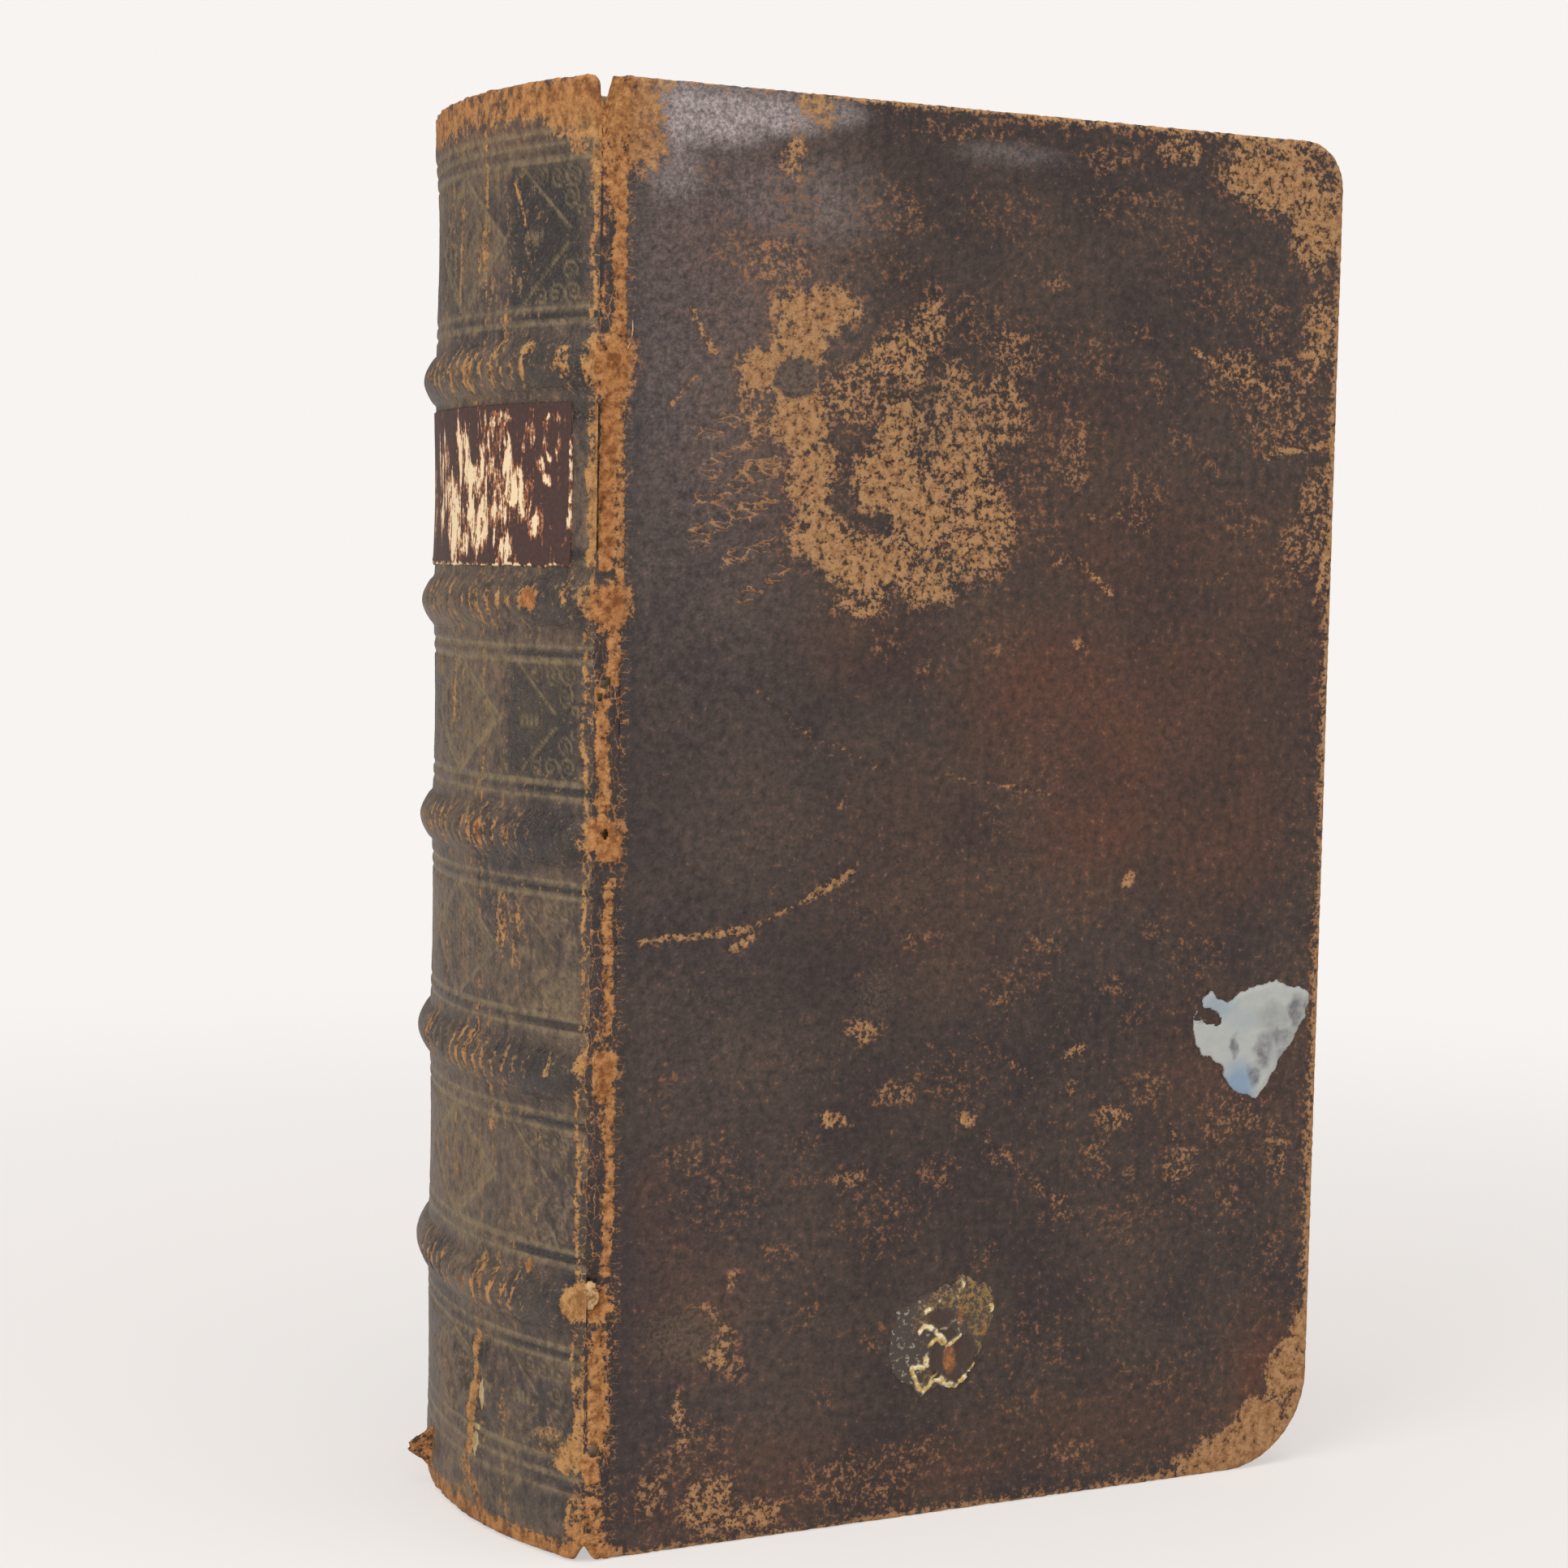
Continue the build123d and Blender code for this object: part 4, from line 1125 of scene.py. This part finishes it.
    # the head is rubbed to suede, deepest next to the front joint, and the tail is ragged
    head = smooth(z, 229.0, 236.5 + 2.2 * slow) * 0.86
    patch = spots(
        bent_v, bent_z,
        [
            (-31.5, 235.5, 7.5, 5.5, 0.95), (-22, 237, 10, 4, 0.8), (-34, 230, 3.4, 4, 0.66),
            (-4, 238, 16, 3.4, 0.7), (14, 237, 14, 4.5, 0.8),
        ],
    )
    tail = (1 - smooth(z, 1.5, 6.5 + 2.0 * slow)) * 0.8
    tail = np.maximum(
        tail,
        spots(bent_v, bent_z, [(-31, 19, 6, 4, 0.5), (-34, 16.5, 3.6, 3.2, 0.75), (-28, 24, 4, 3, 0.32)]),
    )
    worn = np.maximum(worn, np.maximum(np.maximum(head * 0.72, patch), tail))
    worn = np.where(inset > 0.3, np.maximum(worn, 0.7), worn)
    u = side_v - JOINT_V
    for side in (-1, 1):
        suede = joint_wear(u, z, side)[0]
        here = v * side > 20
        worn = np.where(here, np.maximum(worn, suede * smooth(side_v, 33, 35.4)), worn)
    worn = worn - 0.12 * tool
    veins = 0.42 * smooth(side_v, 35, 37.4) + 0.2 * np.clip(slow, 0, 1) + 0.3 * smooth(z, 226, 232) * (
        1 - smooth(side_v, 20, 30)
    )
    glow = 0.2 + 0.2 * slow + 0.5 * smooth(z, 224, 234)
    raw = 0.45 * smooth(z, 230, 237) + 0.4 * (1 - smooth(z, 3, 10)) + 0.15 + 0.7 * spots(v, z, rubs[:3])
    # olive-brown cast away from the front shoulder, black where the stain is still whole
    brown = smooth(v, -24, -6) * (0.32 + 0.22 * slow)
    panel_black = np.zeros_like(v)
    for foot, top in PANELS[:2]:
        panel_black = np.maximum(
            panel_black,
            0.7 * smooth(z, foot - 1, foot + 2) * (
                1 - smooth(z, top - 2, top + 1)
            ) * smooth(-v, 15, 19) * (1 - smooth(-v, 34, 36)),
        )
    strips = np.zeros_like(v)
    for band in BANDS:
        for middle in (band + 8.05, band - 8.05):
            strips = np.maximum(strips, np.clip(1.7 - np.abs(z - middle) / 0.75, 0, 1) * smooth(-v, 18, 24))
    black = np.clip(0.62 * black + panel_black + 0.8 * strips, 0, 1) * (1 - 0.5 * brown)
    dust = 0.5 * brown
    # painted sheen: light grey mixed into the spine's colour, more on its back half
    painted_sheen = 0.06 + 0.05 * smooth(v, 6, 24) + 0.05 * np.clip(slow, 0, 1)

    lift = spine_lift(v, z)
    lift = lift - 0.26 * tool - 0.12 * smooth(worn, 0.42, 0.62)
    lift = lift + 0.10 * slow + 0.05 * fine - 0.16 * strokes(v + sway, z, cracks)
    # small creases that run up each band
    lift = lift - 0.14 * on_band * np.clip(arcs, 0, 1) * crown
    # the lowest panel has come away and buckled
    buckle = spots(v, z, [(-6, 26, 12, 9, 1.0)])
    lift = lift + 0.55 * buckle * np.sin((v * 0.6 - z * 0.35)) + 0.5 * buckle
    lift = lift - 0.8 * strokes(v, z, [(-13, 32, -8, 12, 1.4, 1.0)])
    frayed = np.where(inset > 0.1, 0.30, 0.12) * fine * (smooth(z, 232, 238) + 1 - smooth(z, 2, 7))
    lift = lift + frayed
    x, y = spine_place(v, lift - inset)
    ragged = 0.55 * drift(v, 0 * v, 3.0, 51.0, 4)
    z = z + ragged * smooth(z, 230, HEIGHT) * 0.6 + notch(v, z)
    z = z - 0.6 * np.clip(ragged, -1, 0) * (1 - smooth(z, 0, 8))
    z = np.clip(z, 0.05, HEIGHT + 0.4)
    put(bm, x, y, z)
    made = piece(
        "spine_calf", bm, spine_calf, "text_block",
        {"wear": (worn, glow, veins, raw), "tone": (painted_sheen, black, 0.8 * tool, dust)},
    )
    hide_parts("spine_leather")


spine_calf_piece()


# (millimetres off the cover's edge, height, radius)
WORM_HOLES = [
    (-2.3, 18.4, 0.75), (-2.5, 143.6, 0.5), (-1.6, 144.2, 0.45), (-3.0, 141.6, 0.4), (-2.0, 119.6, 0.5),
]


JOINT_START, JOINT_END = 37.4, 43.3  # the strip's long edges, as girth from the crown


def joint_strip(side):
    """The split leather of one joint, between the spine and its cover."""
    bm, across, up = grid(26, 560)
    v = side * (JOINT_START + across * (JOINT_END - JOINT_START))
    z = 0.3 + up * (HEIGHT - 0.6)
    side_v = np.abs(v)
    u = side_v - JOINT_V
    suede, raw = joint_wear(u, z, side)
    fuzz = drift(v, z, 1.1, 81.0 + side, 3)
    slow = drift(v * 0.6, z, 7.0, 83.0 + side, 3)
    worn = np.maximum(suede, 0.16 + 0.22 * slow)
    lift = joint_rise(u, z, side)
    stand = spine_lift(v, z) * (1 - smooth(u, -4.6, -2.6))
    lift = lift + stand + (0.16 + 0.10 * smooth(worn, 0.5, 0.8)) * fuzz
    # both long edges tuck under the neighbouring leather
    tuck = 0.34 * (1 - smooth(side_v, JOINT_START, 38.1)) + 0.34 * smooth(side_v, 42.6, 43.2)
    lift = lift - tuck
    x, y = spine_place(v, lift)
    z = z + (notch(v, z) if side < 0 else 0.0)
    z = np.clip(z + 0.3 * fuzz * (smooth(z, 236, 240) + 1 - smooth(z, 0, 4)), 0.05, HEIGHT)
    put(bm, x, y, z)
    veins = 0.4 + 0.3 * slow
    black = 0.5 * (1 - smooth(worn, 0.3, 0.5))
    if side > 0:
        bmesh.ops.reverse_faces(bm, faces=bm.faces)
    else:
        bored = []
        for w, off, height in zip(bm.verts, u, z):
            if any(math.hypot(off - a, height - b) < r for a, b, r in WORM_HOLES):
                bored.append(w)
        dropped = set(bored)
        kept = np.array([w not in dropped for w in bm.verts])
        bmesh.ops.delete(bm, geom=bored, context="VERTS")
        u, worn, veins, raw, black = (channel[kept] for channel in (u, worn, veins, raw, black))
    count = len(bm.verts)
    for w in extrude_rim(bm, open_edges(bm))[0]:
        w.co.y -= side * 0.5
    bm.verts.ensure_lookup_table()
    extra = len(bm.verts) - count

    def pad(channel, value):
        """The channel with one value for all corners of the underside."""
        return np.concatenate([channel, np.full(extra, value)])

    name = "front_joint_calf" if side < 0 else "back_joint_calf"
    made = piece(
        name, bm, joint_calf, None,
        {
            "wear": (pad(worn, 0.7), pad(0.3 + 0 * u, 0.3), pad(veins, 0.3), pad(raw, 0.6)),
            # tone: a faint painted sheen (light grey), black gloss where the face is whole, no tooling or
            # dust
            "tone": (pad(0.05 + 0 * u, 0.0), pad(black, 0.0), pad(0 * u, 0.0), pad(0 * u, 0.0)),
        },
    )
    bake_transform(made)


joint_strip(-1)
joint_strip(1)


def torn_flap():
    """A scrap of the spine's leather that has torn away at the tail and stands out from it."""
    bm, out, up = grid(12, 14)
    foot, head = 2.6 + 2.6 * out, 10.4 - 3.2 * out
    z = foot + up * (head - foot) + 0.3 * drift(out * 5, up * 9, 1.6, 131.0, 3)
    v = 14.0 + 1.6 * out - 1.2 * up
    lift = -0.3 + 3.6 * out**1.2 + 0.3 * drift(out * 5, up * 7, 1.4, 133.0, 3)
    x, y = spine_place(v, lift)
    put(bm, x, y, z)
    grown = bmesh.ops.extrude_face_region(bm, geom=list(bm.faces))["geom"]
    for w in corners_in(grown):
        w.co += Vector((-0.25, 0.75, 0.0))
    piece(
        "torn_tail_flap", bm, joint_calf, "text_block",
        {"wear": (0.62, 0, 0.3, 0.6), "tone": (0, 0, 0, 0)},
    )


torn_flap()


def cord_end():
    """The broken end of the lowest sewing cord, showing through the front joint."""
    bm = bmesh.new()
    bmesh.ops.create_icosphere(bm, subdivisions=4, radius=1.0)
    for w in bm.verts:
        rough = 1 + 0.22 * noise.fractal(w.co * 2.6, 1.0, 2.0, 4)
        tuft = 0.12 * math.sin(w.co.x * 16 + 3 * noise.noise(w.co * 3))
        w.co = Vector((w.co.x * 1.4 * rough, w.co.y * (0.42 + tuft) * rough, w.co.z * 2.3 * rough))
        w.co += Vector((BOARD_X - 3.2, -HALF + 0.45, BANDS[0] + 2.2))
    piece("broken_cord_end", bm, frayed_hemp, "text_block")


cord_end()


def fibre(name, body, start, end, bow, thick=0.13):
    """One stray fibre standing off the leather."""
    bm = bmesh.new()
    bmesh.ops.create_cone(bm, cap_ends=True, segments=6, radius1=thick, radius2=thick * 0.6, depth=1.0)
    length_edges = [e for e in bm.edges if abs(e.verts[0].co.z - e.verts[1].co.z) > 0.5]
    bmesh.ops.subdivide_edges(bm, edges=length_edges, cuts=10)
    a, b = Vector(start), Vector(end)
    turn = (b - a).to_track_quat("Z", "Y")
    for w in bm.verts:
        t = w.co.z + 0.5
        across = turn @ Vector((w.co.x, w.co.y, 0))
        w.co = a.lerp(b, t) + across + Vector(bow) * math.sin(math.pi * t)
    piece(name, bm, frayed_hemp, body)


fibre("stray_fibre", "front_cover", (-60.9, -HALF, 197.0), (-60.3, -HALF - 0.6, 201.6), (0.3, -0.2, 0))


# ---------------------------------------------------------------- title label


LABEL_HALF = 33.2  # half the label's girth
LABEL_THICK = 0.34


def title_label():
    """The thin label in the second panel, its face flaking away in upright chips."""
    low, high = box_mm("title_label")
    bm, across, up = grid(200, 92)
    v = (across * 2 - 1) * LABEL_HALF
    ragged = 0.5 * drift(v, 0 * v, 4.0, 91.0, 4)
    foot = low[2] + 0.2 + np.clip(ragged, -0.4, 0.6)
    z = foot + up * (high[2] - foot)
    slow = drift(v, z, 11.0, 93.0, 3)
    curl = 0.25 * np.clip(drift(v, 0 * v, 5.0, 95.0, 2), 0, 1) * (1 - smooth(z - foot, 0, 1.6))
    # chips: most over the crown, few toward the joints
    chips = [
        (-1, 180, 4, 7, 0.66), (3, 171, 5, 9, 0.62), (-5, 174, 3, 9, 0.6), (-9.5, 178, 1.6, 10, 0.62),
        (-9, 168, 3, 5, 0.64), (-15, 186, 5, 2, 0.6), (-17, 179, 2, 6, 0.62), (-19, 175, 3.4, 3.6, 0.72),
        (-22, 173, 2, 4, 0.66), (-16, 165, 2.4, 4, 0.62), (-13, 168, 4, 4, 0.36),
        (-26, 178, 1.4, 1.6, 0.56), (-28.4, 179.6, 1.2, 1.2, 0.5), (-27.6, 176, 1.6, 0.9, 0.5),
        (-29, 186, 2, 1.2, 0.42), (10, 176, 6, 10, 0.5), (20, 172, 5, 9, 0.3), (-11, 184, 9, 4, 0.44),
        (-6, 166, 8, 4, 0.44), (-14, 174, 9, 9, 0.40), (-24, 169, 3, 3, 0.4), (-23, 183, 3, 3, 0.4),
    ]
    loss = spots(v + 0.8 * drift(v, z, 3.0, 97.0, 3), z + 1.2 * drift(v, z, 4.0, 98.0, 3), chips)
    loss = np.maximum(loss, 0.10 + 0.08 * slow)
    loss = np.maximum(loss, 0.62 * (1 - smooth(z - foot, 0.1, 0.7)))
    loss = np.maximum(loss, 0.5 * smooth(np.abs(v) + 0.8 * drift(v * 0, z, 3.0, 96.0, 3), 32.4, LABEL_HALF))
    lift = spine_lift(v, z) + LABEL_THICK + curl + 0.05 * slow - 0.12 * smooth(loss, 0.35, 0.6)
    lift = lift - 0.1 * np.clip(drift(v * 2.4, z * 0.3, 6.0, 99.0, 3), 0, 1)
    x, y = spine_place(v, lift)
    put(bm, x, y, z)
    count = len(bm.verts)
    for w in extrude_rim(bm, open_edges(bm))[0]:
        toward = Vector((ARC_X, 0, w.co.z)) - w.co
        w.co += toward.normalized() * 0.5
    extra = len(bm.verts) - count
    loss = np.concatenate([loss, np.full(extra, 0.5)])
    made = piece(
        "flaking_title_label", bm, goatskin, "text_block", {"wear": (loss, 0, 0, 0)},
    )
    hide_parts("title_label")


title_label()

# ---------------------------------------------------------------- leaves and endbands


PAGE_CORNER = 10.0  # the round of the leaves' lower fore corner


def leaves():
    """The sewn leaves as one block, with the steps of the leaves along its fore-edge."""
    low, high = box_mm("text_block")
    bm, across, up = grid(140, 150)
    y = low[1] + up * (high[1] - low[1])
    back_r = ARC_X - low[0]
    spine_x = ARC_X - np.sqrt(back_r**2 - y**2)
    hollow = 7.0 * (1 - (y / high[1]) ** 2)
    step = 0.22 * drift(y * 8, 0 * y, 2.0, 101.0, 2) + 0.25 * drift(y, 0 * y, 5.0, 102.0, 2)
    fore_x = high[0] - 0.3 - hollow + step
    x = spine_x + across * (fore_x - spine_x)
    put(bm, x, y, 0 * x + low[2])
    grown = bmesh.ops.extrude_face_region(bm, geom=list(bm.faces))["geom"]
    for w in corners_in(grown):
        w.co.z += high[2] - low[2]
    for w in bm.verts:
        ripple = 0.12 * noise.noise(Vector((w.co.x / 30, w.co.y * 4, 7.0)))
        if w.co.z > 100:
            w.co.z += ripple
        else:
            past = max(0.0, w.co.x - (high[0] - PAGE_CORNER))
            w.co.z += PAGE_CORNER - math.sqrt(
                max(PAGE_CORNER**2 - past**2, 0.0)
            ) - abs(ripple) * (past == 0)
    made = piece("sewn_leaves", bm, page_edges, "text_block")
    made.data.materials.append(pastedown_paper)
    for face in made.data.polygons:
        face.use_smooth = False
        face.material_index = 1 if abs(face.normal.y) > 0.9 else 0
    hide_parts("text_block")


leaves()


ENDBAND_R = 74.0  # from the spine's centre to the middle of the band


def endband(node_name, name):
    """Thread wound over a core and laid round the back of the leaves."""
    low, high = box_mm(node_name)
    middle_z = (low[2] + high[2]) / 2
    half_z = (high[2] - low[2]) / 2
    bm, along, around = grid(360, 14)
    span = 2 * high[1] / ENDBAND_R
    turn = (along - 0.5) * span * 0.99
    winding = 1 + 0.1 * np.abs(np.sin(along * math.pi * 82))
    angle = around * 2 * math.pi
    radial = ENDBAND_R + 1.35 * winding * np.cos(angle)
    z = middle_z + half_z * 0.92 * winding * np.sin(angle)
    put(bm, ARC_X - radial * np.cos(turn), radial * np.sin(turn), z)
    bmesh.ops.remove_doubles(bm, verts=bm.verts, dist=0.0001)
    bmesh.ops.holes_fill(bm, edges=open_edges(bm))
    made = piece(name, bm, linen, "text_block")
    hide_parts(node_name)


endband("head_endband", "wound_head_endband")
endband("tail_endband", "wound_tail_endband")

# ---------------------------------------------------------------- solids that keep their shape

KEPT = {
    "board": board_paste, "pastedown": pastedown_paper, "slip": hemp, "cord": hemp, "lining": lining_paper,
}
for name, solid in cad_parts.items():
    for word, finish in KEPT.items():
        if word in name:
            solid.data.materials.clear()
            solid.data.materials.append(finish)

# ---------------------------------------------------------------- floor, light and camera


def backdrop(name, tint):
    """Matt pale paper: it takes the shadow near the book and runs into the background further off."""
    material, tree, shader = finish_named(name)
    place = node(tree, "TexCoord").outputs["Object"]
    length = node(tree, "VectorMath", {0: place}, operation="LENGTH").outputs["Value"]
    away = node(
        tree, "MapRange", {"Value": length, "From Min": 0.16, "From Max": 0.62},
        interpolation_type="SMOOTHSTEP",
    )
    light = node(tree, "LightPath")
    seen = node(
        tree, "Math", {0: light.outputs["Is Camera Ray"], 1: light.outputs["Is Glossy Ray"]},
        operation="MAXIMUM",
    )
    seen = node(tree, "Math", {0: seen, 1: light.outputs["Is Transmission Ray"]}, operation="MAXIMUM")
    lifted = node(tree, "Math", {0: away, 1: 0.45, 2: 0.55}, operation="MULTIPLY_ADD")
    factor = node(tree, "Math", {0: lifted, 1: seen}, operation="MULTIPLY")
    glow = node(tree, "Emission", {"Color": linear(tint), "Strength": 1.0})
    mixed = node(tree, "MixShader", {0: factor, 1: shader, 2: glow})
    out = next(n for n in tree.nodes if n.type == "OUTPUT_MATERIAL")
    connect(tree, out, {"Surface": mixed})
    gloss = {"Roughness": 0.55, "Specular IOR Level": 0.3}
    connect(tree, shader, {"Base Color": linear("#f3ede9"), **gloss})
    return material


BACKGROUND = "#f8f4f1"
FLOOR_REACH = 6000  # far enough that its edge is never seen
bm = bmesh.new()
bmesh.ops.create_grid(bm, x_segments=1, y_segments=1, size=FLOOR_REACH)
floor = piece("studio_floor", bm, backdrop("pale_studio_paper", BACKGROUND), recalc=False)

world = bpy.data.worlds.new("studio")
world.use_nodes = True
bpy.context.scene.world = world
tree = world.node_tree
tree.nodes.clear()
light = node(tree, "LightPath")
seen = node(
    tree, "Math", {0: light.outputs["Is Camera Ray"], 1: light.outputs["Is Transmission Ray"]},
    operation="MAXIMUM",
)
ambient = node(tree, "Background", {"Color": (1.0, 0.985, 0.97, 1.0), "Strength": 0.34})
shown = node(tree, "Background", {"Color": linear(BACKGROUND), "Strength": 1.0})
mixed = node(tree, "MixShader", {0: seen, 1: ambient, 2: shown})
node(tree, "OutputWorld", {"Surface": mixed})


def lamp(name, place, aim, width, height, power, tint="#ffffff"):
    """A soft rectangular lamp, placed and aimed in millimetres."""
    data = bpy.data.lights.new(name, "AREA")
    data.shape = "RECTANGLE"
    data.size = width * MM
    data.size_y = height * MM
    data.energy = power
    data.color = linear(tint)[:3]
    made = bpy.data.objects.new(name, data)
    made.location = Vector(place) * MM
    made.rotation_euler = (Vector(aim) - Vector(place)).to_track_quat("-Z", "Y").to_euler()
    bpy.context.collection.objects.link(made)


lamp("left_softbox", (-900, -420, 620), (0, 0, 110), 700, 700, 5.2)
lamp("overhead_softbox", (-80, -160, 1150), (0, 0, 60), 1000, 800, 7.0)
lamp("right_softbox", (900, -900, 520), (0, 0, 110), 900, 700, 3.0)


def studio_camera():
    """The camera, a little above half height, looking past the spine's shoulder."""
    yaw, pitch, roll = math.radians(26.11), math.radians(-4.30), math.radians(-1.05)
    forward = Vector((math.sin(yaw) * math.cos(pitch), math.cos(yaw) * math.cos(pitch), math.sin(pitch)))
    right = Vector((math.cos(yaw), -math.sin(yaw), 0.0))
    down = forward.cross(right)
    turned_right = right * math.cos(roll) + down * math.sin(roll)
    turned_down = down * math.cos(roll) - right * math.sin(roll)
    data = bpy.data.cameras.new("studio_camera")
    data.lens = 67.75
    data.sensor_width = 36.0
    data.clip_start = 0.01
    camera = bpy.data.objects.new("studio_camera", data)
    axes = Matrix((turned_right, -turned_down, -forward)).transposed()
    camera.matrix_world = Matrix.Translation(Vector((-245.7, -472.6, 163.7)) * MM) @ axes.to_4x4()
    bpy.context.collection.objects.link(camera)
    bpy.context.scene.camera = camera


studio_camera()
bpy.context.scene.view_settings.view_transform = "Standard"
